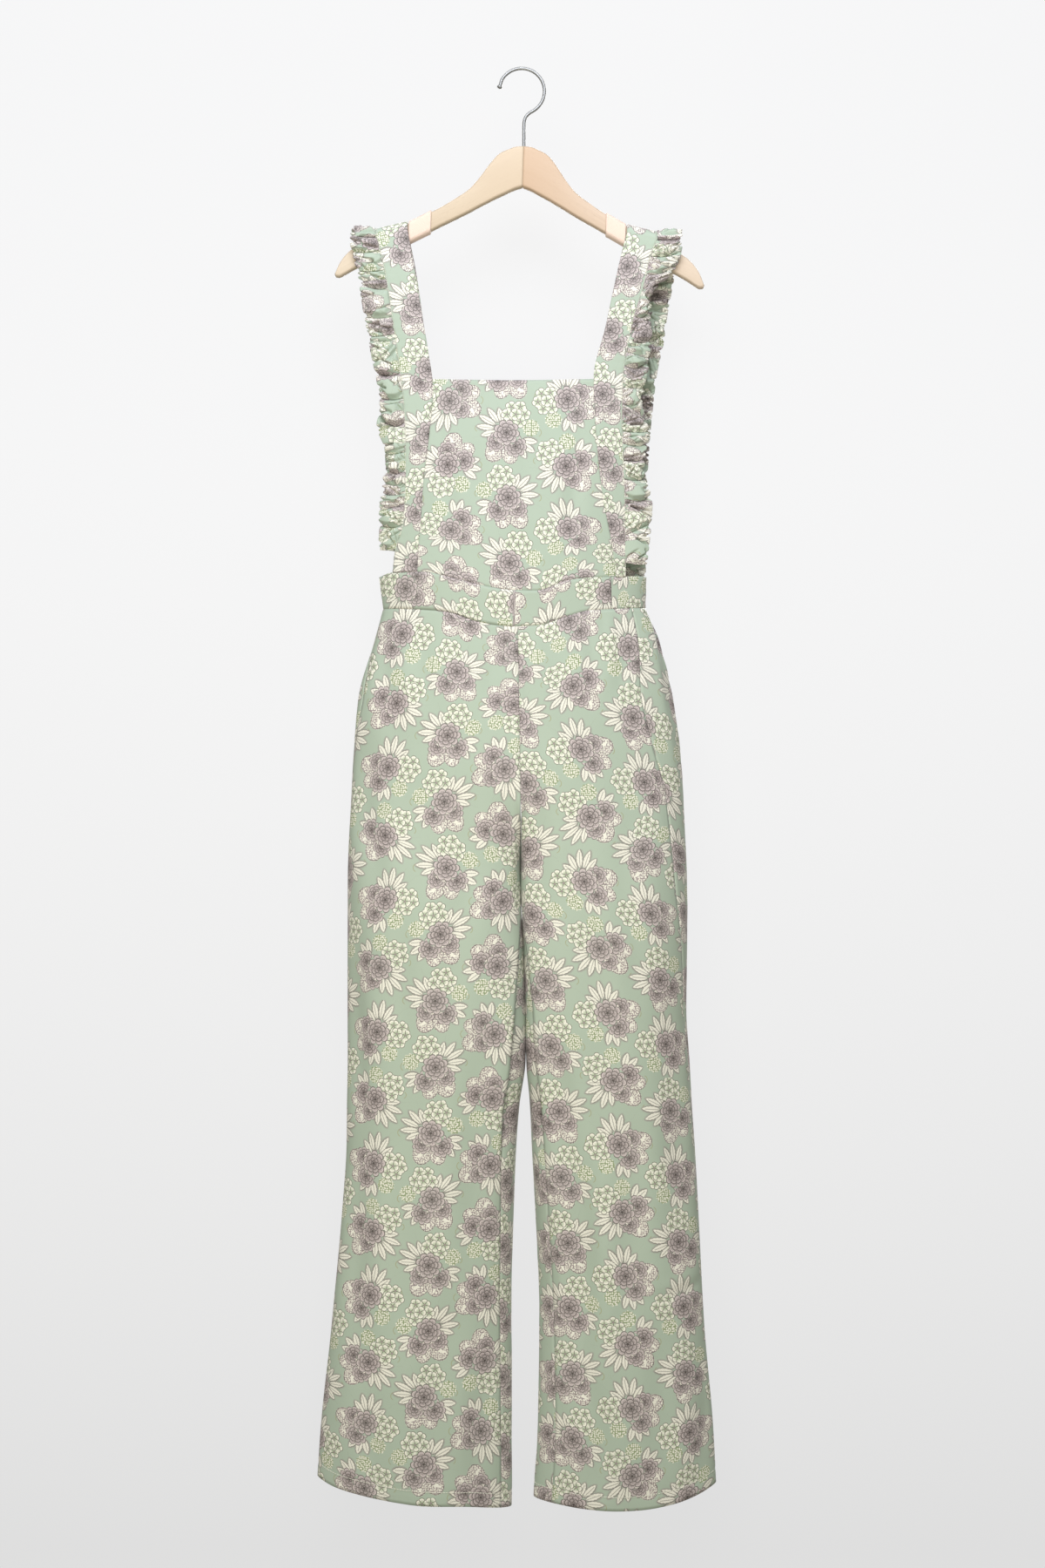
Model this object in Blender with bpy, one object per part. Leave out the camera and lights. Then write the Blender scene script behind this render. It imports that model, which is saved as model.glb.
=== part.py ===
"""Dungarees with ruffled straps, hung on a wooden hanger.

Frame: the origin is the inside top of the hanger's hook, where a rail would touch it.
+X is to the right as seen from the front, -Y is the front, +Z is up.
Left and right are as seen from the front. Sizes below are millimetres; meshes are metres.

Every piece of cloth is a grid of points on the middle of its wall, made solid by its
own thickness. Neighbouring pieces stop 0.3 mm short of each other at a seam.
"""
import math

import bpy
from mathutils import Vector

MM = 0.001
TWILL = 1.4          # trouser panels, one layer
DOUBLE = 1.8         # bib, straps and waistbands, two layers
FRILL = 2.2          # ruffles, folded double
SEAM = 0.3           # gap between neighbouring pieces

# ---------------------------------------------------------------- named sizes
WAIST_TOP = -583.0   # height of the waistband's top edge at the sides
WAIST_LOW = -619.0   # height of its bottom edge at the sides
RISE_BEND = -835.0   # where the centre seams start to curve in to the crotch
CROTCH = -930.0      # the crotch point
SPRING = -190.0      # where a strap starts to turn over the hanger arm
TURN_DEPTH = 9.5     # half the front-to-back size of that turn
TURN_RISE = 10.0     # height of that turn
NECK_TOP = -358.0    # the bib's top edge at its corners
HANGER_X = 2.4       # hanger's middle, right of the hook's middle
HANGER_Z = -88.2     # top of the wood
HANGER_TILT = 1.8    # degrees, right arm lower
WOOD = 12.0          # thickness of the wood

# Trouser widths of each leg: outer and inner edge as seen from the front, and how far
# the inseam (at the inner edge) and side seam (at the outer edge) lie round to the front.
LEFT_LEG = [
    ("z", "outer", "inner", "inseam", "side"),
    (-619, -158, -5.4, 0, 0),
    (-660, -169, -5.0, 0, 5),
    (-722, -187, -4.0, 0, 15),
    (-775, -191.5, -3.0, 0, 6),
    (-835, -195, -2.4, 0, 2),
    (-930, -199, -2.1, 3, 0),
    (-1020, -199, 1.4, 20, 0),
    (-1080, -199, 3.0, 28, 0),
    (-1134, -199, 3.4, 33, 0),
    (-1188, -200, -4.0, 34, 0),
    (-1232, -200.5, -7.5, 33, 0),
    (-1302, -205, -10, 31, 0),
    (-1433, -217, -12, 29, 0),
    (-1560, -229, -12, 27, 0),
    (-1640, -234, -12, 26, 0),
]
RIGHT_LEG = [
    ("z", "outer", "inner", "inseam", "side"),
    (-619, 142, -3.4, 0, 28),
    (-660, 157, -3.0, 0, 32),
    (-722, 173, -2.0, 0, 38),
    (-775, 181, -1.0, 0, 35),
    (-835, 186, -0.2, 0, 29),
    (-930, 190, 0.1, 3, 30),
    (-1020, 189, 3.6, 18, 22),
    (-1080, 188.5, 5.6, 25, 17),
    (-1134, 192, 6.0, 28, 13),
    (-1188, 195, 10.5, 30, 10),
    (-1232, 198, 12.5, 31, 8),
    (-1302, 202, 16, 32, 6),
    (-1433, 209, 21, 34, 5),
    (-1560, 219, 19.5, 36, 4),
    (-1640, 223, 14, 36, 4),
]
# Depth of the trousers in front of and behind the hanger's plane, and how pointed
# their section is at its outer and inner edges (1 an ellipse, 2 a lens, 0.5 nearly square).
DEPTH = [
    ("z", "front", "back", "point", "inside"),
    (-619, 44, 40, 1.0, 1.0),
    (-660, 49, 44, 1.0, 1.0),
    (-722, 56, 48, 1.0, 1.0),
    (-775, 60, 52, 1.0, 0.8),
    (-835, 64, 57, 1.0, 0.6),
    (-930, 66, 61, 1.0, 0.5),
    (-1080, 61, 58, 1.05, 0.5),
    (-1232, 52, 50, 1.15, 0.65),
    (-1400, 45, 43, 1.2, 0.95),
    (-1540, 41, 39, 1.25, 1.15),
    (-1640, 38, 36, 1.3, 1.25),
]
MIDDLE = [("z", "x"), (-619, -4.4), (-775, -2.0), (-885, -0.6), (-930, -1.0)]
# The hem's height along each leg.
LEFT_HEM = [
    ("x", "z"), (-234, -1613), (-215, -1620), (-179, -1627), (-144, -1632.5),
    (-113, -1636.5), (-66, -1639), (-12, -1647),
]
RIGHT_HEM = [
    ("x", "z"), (14, -1636), (43, -1638.5), (69, -1641), (103, -1642.5),
    (132, -1641.5), (174, -1636), (200, -1629), (223, -1620),
]
# The front waistband's edges, which dip to a point at the centre.
BAND = [
    ("x", "top", "low"),
    (-163, -583, -619), (-147, -578.5, -619.5), (-110, -579, -621.5),
    (-83, -585, -624.5), (-64, -590, -631), (-47, -594.5, -636.5),
    (-10, -600.5, -641.5), (16, -601, -640.5), (53, -589, -630),
    (74, -586, -624), (99, -584.5, -622), (142, -582, -619),
]
# Where the front waistband's columns stand along its two edges, so that its edges run
# straight between the same points as the bib above and the trousers below.
BAND_COLUMNS = [
    ("top", "low"),
    (-163, -158), (-156.5, -155), (-146.5, -146.3), (-132.2, -132.1), (-117.8, -113),
    (-90, -89.7), (-63, -63.2), (-35, -34.4), (-5, -4.4), (15, 15.3), (35, 34.7),
    (54, 53.4), (71.5, 71), (88, 87.2), (101.5, 101.8),
]
# Front of the bodice: how flat it hangs, how far it bows forward, and over what width.
BODICE = [
    ("z", "flat", "bow", "middle", "half"),
    (-583, 0, 44, -10.5, 152.5), (-520, 2, 36, -10, 152), (-440, 5, 26, -9, 150),
    (-358, 8, 14, -9, 152), (-280, 9, 7, -6, 175), (-190, 9.5, 0, -4, 210),
]
# Each strap's inner and outer edge, down the front and down the back.
LEFT_FRONT = [
    ("z", "inner", "outer"),
    (-583, -118, -146.5), (-554, -117, -143.5), (-525, -114.5, -135.5),
    (-482, -112, -132.5), (-422, -105, -133), (-369, -101, -137),
    (-326, -106.5, -143), (-285, -113.5, -149), (-235, -122, -157), (-186, -131.5, -168),
]
RIGHT_FRONT = [
    ("z", "inner", "outer"),
    (-583, 107, 118), (-547, 102.3, 118.3), (-487, 91, 117.7), (-412, 84, 115),
    (-358, 82, 116.5), (-296, 96, 126.5), (-247, 106.5, 141), (-215, 114, 147.5),
    (-187, 121.5, 156.5),
]
LEFT_BACK = [
    ("z", "inner", "outer"),
    (-583, -94, -130), (-480, -99, -135), (-413, -103, -139), (-350, -107, -143),
    (-290, -113, -149), (-235, -121, -157), (-187, -131.5, -168),
]
RIGHT_BACK = [
    ("z", "inner", "outer"),
    (-583, 82, 118), (-480, 88, 124), (-413, 92, 128), (-350, 97, 133),
    (-290, 103, 138.5), (-235, 113, 148), (-187, 121.5, 156.5),
]
# Heights of the rows that the bib and the straps' fronts share; the tenth is the neckline.
FRONT_ROWS = [-583, -568, -554, -540, -525, -495, -460, -422, -390, -358, -326, -296,
              -265, -235, -210, -190]
# Each front ruffle: how far it reaches out from the strap and how far it turns back.
LEFT_FRILL = [
    ("z", "reach", "turn"),
    (-554, 18, 20), (-520, 27, 20), (-500, 28, 18), (-477, 26, 15), (-443, 21, 15),
    (-411, 31, 12), (-385, 25, 10), (-361, 26, 10), (-328, 28, 8), (-285, 30, 6),
    (-245, 30, 4), (-210, 31, 2), (-187, 28, 0),
]
RIGHT_FRILL = [
    ("z", "reach", "turn"),
    (-568, 24, 10), (-500, 30, 10), (-463, 22, 20), (-416, 30, 14), (-386, 21, 25),
    (-340, 27, 20), (-311, 26, 25), (-282, 18, 35), (-258, 11, 50), (-234, 28, 9),
    (-218, 33, 4), (-187, 28, 0),
]
# Heights of the ruffles' gathers: a puff stands between each pair of neighbours.
LEFT_GATHERS = [-554, -523, -499, -477, -458, -440, -405, -378, -349, -313, -286,
                -252, -233, -210, -190]
RIGHT_GATHERS = [-568, -536, -494, -471, -450, -416, -386, -366, -340, -311, -284,
                 -258, -234, -211, -190]
BACK_GATHERS = [-190, -214, -243, -266, -293, -318, -349, -371, -402, -426, -455,
                -479, -509, -534, -562]
# Hanger arm, along the arm from its middle: top and bottom below the wood's top.
ARM = [
    ("along", "top", "low"),
    (0, 0, 47), (9, 0.8, 50), (17, 4, 54), (24, 7, 57.5), (30, 11.5, 60.5),
    (39, 22.5, 65.5), (48, 35.5, 70.5), (61, 51, 78), (76, 62, 86), (94, 73.5, 95.5),
    (106, 80, 102), (134, 95, 117), (160, 107, 131), (180, 116, 141.5),
    (192, 123, 148), (201, 132, 153.5), (207, 141, 156.5), (211, 151, 156),
]


# ------------------------------------------------------------------- helpers
def read(table, name, at):
    """A named column's value at a place in the first column, smooth between its rows."""
    place = table[0].index(name)
    rows = sorted((row[0], row[place]) for row in table[1:])
    where = [row[0] for row in rows]
    value = [row[1] for row in rows]
    if at <= where[0]:
        return value[0]
    if at >= where[-1]:
        return value[-1]
    last = len(rows) - 1
    step = [where[i + 1] - where[i] for i in range(last)]
    rise = [(value[i + 1] - value[i]) / step[i] for i in range(last)]
    slope = [rise[0]] + [0.0] * (last - 1) + [rise[-1]]
    for i in range(1, last):
        if rise[i - 1] * rise[i] > 0:
            before = step[i] + 2 * step[i - 1]
            after = 2 * step[i] + step[i - 1]
            slope[i] = (before + after) / (after / rise[i - 1] + before / rise[i])
    i = max(k for k in range(last) if where[k] <= at)
    t = (at - where[i]) / step[i]
    return ((1 + 2 * t) * (1 - t) ** 2 * value[i] + t * (1 - t) ** 2 * step[i] * slope[i]
            + t * t * (3 - 2 * t) * value[i + 1] + t * t * (t - 1) * step[i] * slope[i + 1])


def fade(low, high, at):
    """0 at low, 1 at high, eased between."""
    t = min(1.0, max(0.0, (at - low) / (high - low)))
    return t * t * (3 - 2 * t)


def mix(a, b, t):
    return a + (b - a) * t


def finish(name, mesh, colour):
    """Puts a mesh in the scene with its own plain material."""
    for old in [m for m in bpy.data.materials if m.name == name]:
        bpy.data.materials.remove(old)
    material = bpy.data.materials.new(name)
    material.use_nodes = True
    base = material.node_tree.nodes["Principled BSDF"].inputs
    base["Base Color"].default_value = (*colour, 1.0)
    base["Roughness"].default_value = 0.7
    mesh.materials.append(material)
    thing = bpy.data.objects.new(name, mesh)
    bpy.context.scene.collection.objects.link(thing)
    return thing


def cloth(name, rows, thickness, colour):
    """One wall of cloth, from rows of points on the middle of it."""
    across = len(rows[0])
    points = [(x * MM, y * MM, z * MM) for row in rows for x, y, z in row]
    faces = []
    for i in range(len(rows) - 1):
        for j in range(across - 1):
            a = i * across + j
            faces.append((a, a + 1, a + 1 + across, a + across))
    mesh = bpy.data.meshes.new(name)
    mesh.from_pydata(points, [], faces)
    mesh.update()
    thing = finish(name, mesh, colour)
    wall = thing.modifiers.new("wall", "SOLIDIFY")
    wall.thickness = thickness * MM
    wall.offset = 0.0
    wall.use_even_offset = False
    wall.use_rim = True
    return thing


def loft(name, rings, colour):
    """A closed body through rings of equal size, capped at both ends."""
    size = len(rings[0])
    points = [(x * MM, y * MM, z * MM) for ring in rings for x, y, z in ring]
    faces = []
    for i in range(len(rings) - 1):
        for j in range(size):
            a = i * size + j
            b = i * size + (j + 1) % size
            faces.append((a, b, b + size, a + size))
    faces.append(tuple(reversed(range(size))))
    faces.append(tuple(range((len(rings) - 1) * size, len(rings) * size)))
    mesh = bpy.data.meshes.new(name)
    mesh.from_pydata(points, [], faces)
    mesh.update()
    return finish(name, mesh, colour)


def facing_out(thing):
    """Turns every face of a closed body outward."""
    import bmesh
    body = bmesh.new()
    body.from_mesh(thing.data)
    bmesh.ops.recalc_face_normals(body, faces=body.faces)
    body.to_mesh(thing.data)
    body.free()


def pulled(edge, own, other, thickness):
    """A seam's point moved back into its own piece, so the two walls stay apart."""
    here = Vector(edge)
    mine = (Vector(own) - here).normalized()
    theirs = (Vector(other) - here).normalized()
    bend = math.pi - mine.angle(theirs)
    back = SEAM / 2 + thickness / 2 * math.tan(min(bend, 2.2) / 2)
    return tuple(here + mine * back)


# ------------------------------------------------------------------ trousers
def rise_curve(z):
    """How much of the depth the centre seams keep: 1 down to where they start to curve
    in, 0 at the crotch."""
    return fade(CROTCH, RISE_BEND, z)


def trouser_point(leg, front, share, z):
    """A point of a trouser panel's middle. Share runs from the centre seam or inseam
    (0) to the side seam (1)."""
    side = 180.0 - read(leg, "side", z)
    inseam = read(leg, "inseam", z)
    if front:
        hip = mix(90.0, side, share)
        low = mix(inseam, side, share)
    else:
        hip = mix(270.0, side, share)
        low = mix(360.0 + inseam, side, share)
    outer = read(leg, "outer", z)
    inner = read(leg, "inner", z)
    middle = read(MIDDLE, "x", z)
    deep_front = read(DEPTH, "front", z)
    deep_back = read(DEPTH, "back", z)

    def depth(angle):
        lean = math.sin(math.radians(angle))
        point = read(DEPTH, "inside" if math.cos(math.radians(angle)) > 0 else "point", z)
        if lean > 0:
            return -deep_front * lean ** point
        return deep_back * (-lean) ** point

    hip_x = middle + (middle - outer) * math.cos(math.radians(hip))
    low_x = (inner + outer) / 2 + (inner - outer) / 2 * math.cos(math.radians(low))
    w = fade(-790.0, -1010.0, z)
    x = mix(hip_x, low_x, w)
    y = mix(depth(hip), depth(low), w)
    if z > -1010.0:
        # the centre seam curves in to the crotch, which folds the cloth beside it
        keep = rise_curve(z)
        hip_edge = depth(90.0 if front else 270.0)
        edge = mix(depth(inseam), hip_edge, keep)
        near = max(0.0, 1.0 - share / 0.26)
        y += (edge - mix(hip_edge, depth(inseam), w)) * near ** 1.6
    if not front:
        # fullness gathered into the elastic at the back waist, gone by mid thigh
        full = 5.0 * fade(-1080.0, WAIST_LOW, z)
        fold = math.sin(2 * math.pi * (4 * share + 0.12 * math.sin(9 * share)))
        y += full * fold * math.sin(math.pi * share) ** 0.5
    return x, y


def trouser_heights():
    return [-622, -645, -675, -710, -745, -790, -835, -868, -892, -911, -922, -930,
            -950, -985, -1030, -1080, -1134, -1188, -1240, -1302, -1370, -1433,
            -1500, -1570, -1640]


def trouser_panel(name, leg, hem, front, columns, colour):
    other_columns = 15 if front else 8
    sign = 1.0 if leg is RIGHT_LEG else -1.0
    rows = []
    for z in trouser_heights():
        # columns stand closer to the inner edge below the hips, where it turns sharply
        lean = 1.0 + 0.35 * fade(-700.0, -800.0, z)
        shares = [(j / columns) ** lean for j in range(columns + 1)]
        flat = [trouser_point(leg, front, s, z) for s in shares]
        beside = [trouser_point(leg, not front, s, z)
                  for s in (1.0, 1.0 - 1.0 / other_columns, 0.0, other_columns ** -lean)]
        row = []
        for x, y in flat:
            top = read(BAND, "low", x) if y < 0 else WAIST_LOW
            low = read(hem, "z", x)
            # rows follow the waistband's dip at the top and the hem at the bottom
            up = (top - 0.5 - WAIST_LOW + 3.0) * fade(-770.0, -622.0, z)
            down = (low + 1640.0) * fade(-1433.0, -1640.0, z)
            row.append((x, y, z + up + down))
        side_other = (*beside[1], row[-1][2])
        side = pulled(row[-1], row[-2], side_other, TWILL)
        if z > CROTCH:
            # centre seam: the two halves meet, or face each other inside the fold
            run = Vector(row[1]) - Vector(row[0])
            steep = abs(run.y) / max(1e-6, math.hypot(run.x, run.y))
            middle = read(MIDDLE, "x", z)
            start = (middle + sign * (SEAM / 2 + 1.1 * TWILL / 2 * steep),
                     row[0][1], row[0][2])
            if rise_curve(z) < 0.99:
                least = TWILL / 2 + SEAM
                row = [(max(x, middle + least) if sign > 0 else min(x, middle - least),
                        y, h) for x, y, h in row]
        else:
            start = pulled(row[0], row[1], (*beside[3], row[0][2]), TWILL)
        row[0] = start
        row[-1] = side
        rows.append(row)
    return cloth(name, rows, TWILL, colour)


# ---------------------------------------------------------------- waistbands
def waist_point(angle, share):
    """A point round the waist: 90 degrees is the front, 0 the right. Share 0 is the
    band's bottom edge, 1 its top."""
    a = math.radians(angle)
    middle = mix(-8.5, -10.5, share)
    half = mix(149.5, 152.5, share)
    x = middle + half * math.cos(a)
    y = -44.0 * math.sin(a) if math.sin(a) > 0 else -40.0 * math.sin(a)
    if math.sin(a) > 0:
        z = mix(read(BAND, "low", x), read(BAND, "top", x), share)
    else:
        z = mix(WAIST_LOW, WAIST_TOP + 0.8, share)
    return x, y, z


def waist_angle(x, share):
    """The angle round the waist of a place x on its front."""
    return math.degrees(math.acos((x - mix(-8.5, -10.5, share)) / mix(149.5, 152.5, share)))


def waistband(name, edge_angles, gathers, colour):
    """A waistband through pairs of angles, one on its bottom edge and one on its top."""
    rows = []
    last = len(edge_angles) - 1
    for share in (0.0, 0.5, 1.0):
        row = []
        for j, (low, top) in enumerate(edge_angles):
            edges = [waist_point(low, 0.0), waist_point(top, 1.0)]
            calm = fade(0.0, 0.12, j / last) * fade(1.0, 0.88, j / last)
            ridge = 1.6 * calm * math.sin(2 * math.pi * gathers * j / last)
            a = math.radians(mix(low, top, share))
            x, y, z = (mix(b, t, share) for b, t in zip(*edges))
            row.append((x + ridge * math.cos(a), y - ridge * math.sin(a), z))
        low, top = edge_angles[0]
        before = waist_point(mix(low, top, share) + math.copysign(4, low - edge_angles[1][0]),
                             share)
        low, top = edge_angles[-1]
        after = waist_point(mix(low, top, share) + math.copysign(4, low - edge_angles[-2][0]),
                            share)
        first = pulled(row[0], row[1], before, DOUBLE)
        row[-1] = pulled(row[-1], row[-2], after, DOUBLE)
        row[0] = first
        rows.append(row)
    return cloth(name, rows, DOUBLE, colour)


def front_band(colour):
    angles = [(waist_angle(low, 0.0), waist_angle(top, 1.0)) for top, low in BAND_COLUMNS[1:]]
    return waistband("waistband_front", angles, 0, colour)


def back_band(colour):
    seam = (waist_angle(BAND_COLUMNS[-1][1], 0.0), waist_angle(BAND_COLUMNS[-1][0], 1.0))
    angles = [(mix(180.0, 360.0 + seam[0], j / 64), mix(180.0, 360.0 + seam[1], j / 64))
              for j in range(65)]
    return waistband("waistband_back", angles, 16, colour)


# ------------------------------------------------------------ bib and straps
def front_skin(x, z):
    u = (x - read(BODICE, "middle", z)) / read(BODICE, "half", z)
    bow = math.sqrt(max(0.04, 1.0 - u * u))
    return -(read(BODICE, "flat", z) + read(BODICE, "bow", z) * bow)


def back_skin(x, z):
    return -front_skin(x, z) * 0.92 + 0.76 * fade(-583.0, -190.0, z)


def spring(x):
    """Height where the strap starts to turn over the arm, at a distance from the middle."""
    if x < 0:
        top = mix(-175.0, -183.5, min(1.0, max(0.0, (-x - 134.0) / 34.0)))
    else:
        top = mix(-177.8, -187.0, min(1.0, max(0.0, (x - 122.0) / 35.0)))
    return top - TURN_RISE


def front_height(x, z):
    """A front row's height at x: it follows the waistband below and the arm above."""
    low = (read(BAND, "top", x) + 0.5 - WAIST_TOP) * fade(-520.0, -583.0, z)
    high = (spring(x) - SPRING) * fade(-260.0, -190.0, z)
    return z + low + high


def bib_panel(colour):
    left = read(LEFT_FRONT, "inner", WAIST_TOP) + SEAM
    right = read(RIGHT_FRONT, "inner", WAIST_TOP) - SEAM
    inside = [top for top, low in BAND_COLUMNS[6:]]
    shares = [0.0] + [(x - left) / (right - left) for x in inside] + [1.0]
    rows = []
    for z in FRONT_ROWS[:10]:
        up = (z + 583.0) / (NECK_TOP + 583.0)
        row = []
        for share in shares:
            left = read(LEFT_FRONT, "inner", z) + SEAM
            right = read(RIGHT_FRONT, "inner", z) - SEAM
            x = mix(left, right, share)
            dip = -2.0 * math.sin(math.pi * share) * fade(0.8, 1.0, up)
            row.append((x, front_skin(x, z), front_height(x, z) + dip))
        rows.append(row)
    return cloth("bib", rows, DOUBLE, colour)


def strap_rows(front, back):
    """Rows across a strap from the front waist, over the arm, to the back waist. Each
    row gives the inner and outer edge, and the way its outer side faces."""
    rows = []
    for z in FRONT_ROWS:
        points = []
        for name in ("inner", "outer"):
            x = read(front, name, z)
            points.append((x, front_skin(x, z), front_height(x, z)))
        rows.append(points)
    inner = read(front, "inner", SPRING)
    outer = read(front, "outer", SPRING)
    for angle in (25, 55, 90, 125, 155):
        a = math.radians(angle)
        rows.append([(x, -TURN_DEPTH * math.cos(a), spring(x) + TURN_RISE * math.sin(a))
                     for x in (inner, outer)])
    for z in (-190, -215, -250, -290, -330, -370, -413, -455, -500, -545, -581):
        points = []
        for name in ("inner", "outer"):
            x = read(back, name, z)
            high = (spring(x) - SPRING) * fade(-260.0, -190.0, z)
            points.append((x, back_skin(x, z), z + high))
        rows.append(points)
    return rows


def strap(name, front, back, colour):
    rows = []
    for inner, outer in strap_rows(front, back):
        middle = tuple(mix(a, b, 0.5) for a, b in zip(inner, outer))
        rows.append([inner, middle, outer])
    return cloth(name, rows, DOUBLE, colour)


def frill_row(base, outward, facing, reach, puff):
    """One row of a ruffle: at its seam, in its middle and at its folded edge."""
    row = []
    for along, lift in ((0.0, 0.3), (0.55, 1.0), (1.0, 0.7)):
        row.append(tuple(b + o * (0.9 + along * reach) + f * puff * lift
                         for b, o, f in zip(base, outward, facing)))
    return row


def ruffle(name, front, back, frill, gathers, sign, colour):
    rows = []
    for k in range(len(gathers) - 1):
        tall = min(9.0, 0.27 * abs(gathers[k + 1] - gathers[k]))
        for part in (0.0, 0.34, 0.67):
            z = mix(gathers[k], gathers[k + 1], part)
            puff = tall * math.sin(math.pi * part) if part else 0.0
            x = read(front, "outer", z)
            turn = math.radians(read(frill, "turn", z))
            base = (x, front_skin(x, z), front_height(x, z))
            outward = (sign * math.cos(turn), math.sin(turn), 0.0)
            facing = (sign * math.sin(turn), -math.cos(turn), 0.0)
            reach = read(frill, "reach", z) - (0.0 if part else 2.0)
            rows.append(frill_row(base, outward, facing, reach, puff))
    x = read(front, "outer", SPRING)
    for angle, puff in ((0, 0), (22, 3), (50, 5), (78, 3), (98, 0), (122, 3), (152, 4)):
        a = math.radians(angle)
        base = (x, -TURN_DEPTH * math.cos(a), spring(x) + TURN_RISE * math.sin(a))
        rows.append(frill_row(base, (sign, 0.0, 0.0), (0.0, -math.cos(a), math.sin(a)),
                              27.0, puff))
    for k in range(len(BACK_GATHERS) - 1):
        tall = 0.27 * abs(BACK_GATHERS[k + 1] - BACK_GATHERS[k])
        for part in (0.0, 0.34, 0.67) if k < len(BACK_GATHERS) - 2 else (0.0, 0.34, 0.67, 1.0):
            z = mix(BACK_GATHERS[k], BACK_GATHERS[k + 1], part)
            puff = tall * math.sin(math.pi * part) if 0 < part < 1 else 0.0
            x = read(back, "outer", z)
            high = (spring(x) - SPRING) * fade(-260.0, -190.0, z)
            base = (x, back_skin(x, z), z + high)
            reach = 27.5 - (0.0 if puff else 2.0)
            rows.append(frill_row(base, (sign, 0.0, 0.0), (0.0, 1.0, 0.0), reach, puff))
    return cloth(name, rows, FRILL, colour)


# -------------------------------------------------------------------- hanger
def hanger_point(along, down, y, sign):
    """A point of the hanger from its own middle, tilted as it hangs."""
    tilt = math.radians(HANGER_TILT)
    x = sign * along
    return (HANGER_X + x * math.cos(tilt) - down * math.sin(tilt), y,
            HANGER_Z - x * math.sin(tilt) - down * math.cos(tilt))


def arm_edges(along):
    """The arm's top and bottom at a place along it, straight between the table's rows."""
    for before, after in zip(ARM[1:], ARM[2:]):
        if along <= after[0]:
            t = (along - before[0]) / (after[0] - before[0])
            return mix(before[1], after[1], t), mix(before[2], after[2], t)
    return ARM[-1][1], ARM[-1][2]


def arm_ring(along, sign, grow=0.0):
    """A rounded section of the arm, grown all round by an amount."""
    top, low = arm_edges(along)
    top -= grow
    low += grow
    half = WOOD / 2 + grow
    corner = min(3.5 + grow, (low - top) / 2 - 0.2, half - 0.2)
    ring = []
    for cy, cd, start in ((-1, 1, 90), (-1, -1, 180), (1, -1, 270), (1, 1, 0)):
        for turn in (0, 45, 90):
            a = math.radians(start + turn)
            y = cy * (half - corner) + corner * math.cos(a)
            down = (top + low) / 2 + cd * ((low - top) / 2 - corner) + corner * math.sin(a)
            ring.append(hanger_point(along, down, y, sign))
    return ring


def hanger_half(name, sign, colour):
    stations = [0.15] + [row[0] for row in ARM[2:]]
    half = loft(name, [arm_ring(along, sign) for along in stations], colour)
    facing_out(half)
    return half


def grip(name, sign, start, stop, colour):
    """Knitted sleeve round the arm."""
    stations = [start] + [row[0] for row in ARM[1:] if start < row[0] < stop] + [stop]
    outside = [arm_ring(along, sign, 2.1) for along in stations]
    inside = [arm_ring(along, sign, 0.4) for along in stations]
    size = len(outside[0])
    points = [(x * MM, y * MM, z * MM)
              for ring in outside + inside for x, y, z in ring]
    faces = []
    count = len(stations)
    for i in range(count - 1):
        for j in range(size):
            k = (j + 1) % size
            a, b = i * size + j, i * size + k
            faces.append((a, b, b + size, a + size))
            c, d = (count + i) * size + j, (count + i) * size + k
            faces.append((c, c + size, d + size, d))
    for i in (0, count - 1):
        for j in range(size):
            k = (j + 1) % size
            faces.append((i * size + j, i * size + k,
                          (count + i) * size + k, (count + i) * size + j))
    mesh = bpy.data.meshes.new(name)
    mesh.from_pydata(points, [], faces)
    mesh.update()
    sleeve = finish(name, mesh, colour)
    facing_out(sleeve)
    return sleeve


def hook(colour):
    """Wire hook: a ball end, three quarters of a circle and a stem into the wood."""
    wire = 1.9
    middle = -(26.2 - wire)
    path = []
    for reach, radius in ((11.5, 0.8), (11.0, 2.2), (9.6, 3.0), (8.0, 2.4), (7.0, wire)):
        a = math.radians(150)
        path.append((26.2 * math.cos(a) - reach * math.sin(a) * 0.55,
                     middle + 26.2 * math.sin(a) + reach * math.cos(a), radius))
    for i in range(21):
        a = math.radians(mix(150, -72, i / 20))
        path.append((26.2 * math.cos(a), middle + 26.2 * math.sin(a), wire))
    path += [(5.2, -52.5, wire), (3.4, -56.5, wire), (2.6, -62.0, wire), (2.6, -99.5, wire)]
    rings = []
    for i, (x, z, radius) in enumerate(path):
        before = path[max(0, i - 1)]
        after = path[min(len(path) - 1, i + 1)]
        run = Vector((after[0] - before[0], 0.0, after[1] - before[1])).normalized()
        side = Vector((run.z, 0.0, -run.x))
        ring = []
        for j in range(10):
            a = 2 * math.pi * j / 10
            off = side * math.cos(a) * radius + Vector((0, 1, 0)) * math.sin(a) * radius
            ring.append((x + off.x, off.y, z + off.z))
        rings.append(ring)
    wire_hook = loft("hook", rings, colour)
    facing_out(wire_hook)
    return wire_hook


def stem_hole(halves):
    """Bores the hook's hole down the joint of the two wooden halves."""
    rings = []
    for z in (HANGER_Z + 6.0, HANGER_Z - 12.5):
        rings.append([(2.6 + 2.3 * math.cos(2 * math.pi * j / 12),
                       2.3 * math.sin(2 * math.pi * j / 12), z) for j in range(12)])
    cutter = loft("stem_bore", rings, (0.5, 0.5, 0.5))
    facing_out(cutter)
    cutter.hide_render = True
    cutter.display_type = "WIRE"
    for half in halves:
        cut = half.modifiers.new("bore", "BOOLEAN")
        cut.operation = "DIFFERENCE"
        cut.solver = "EXACT"
        cut.object = cutter


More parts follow.
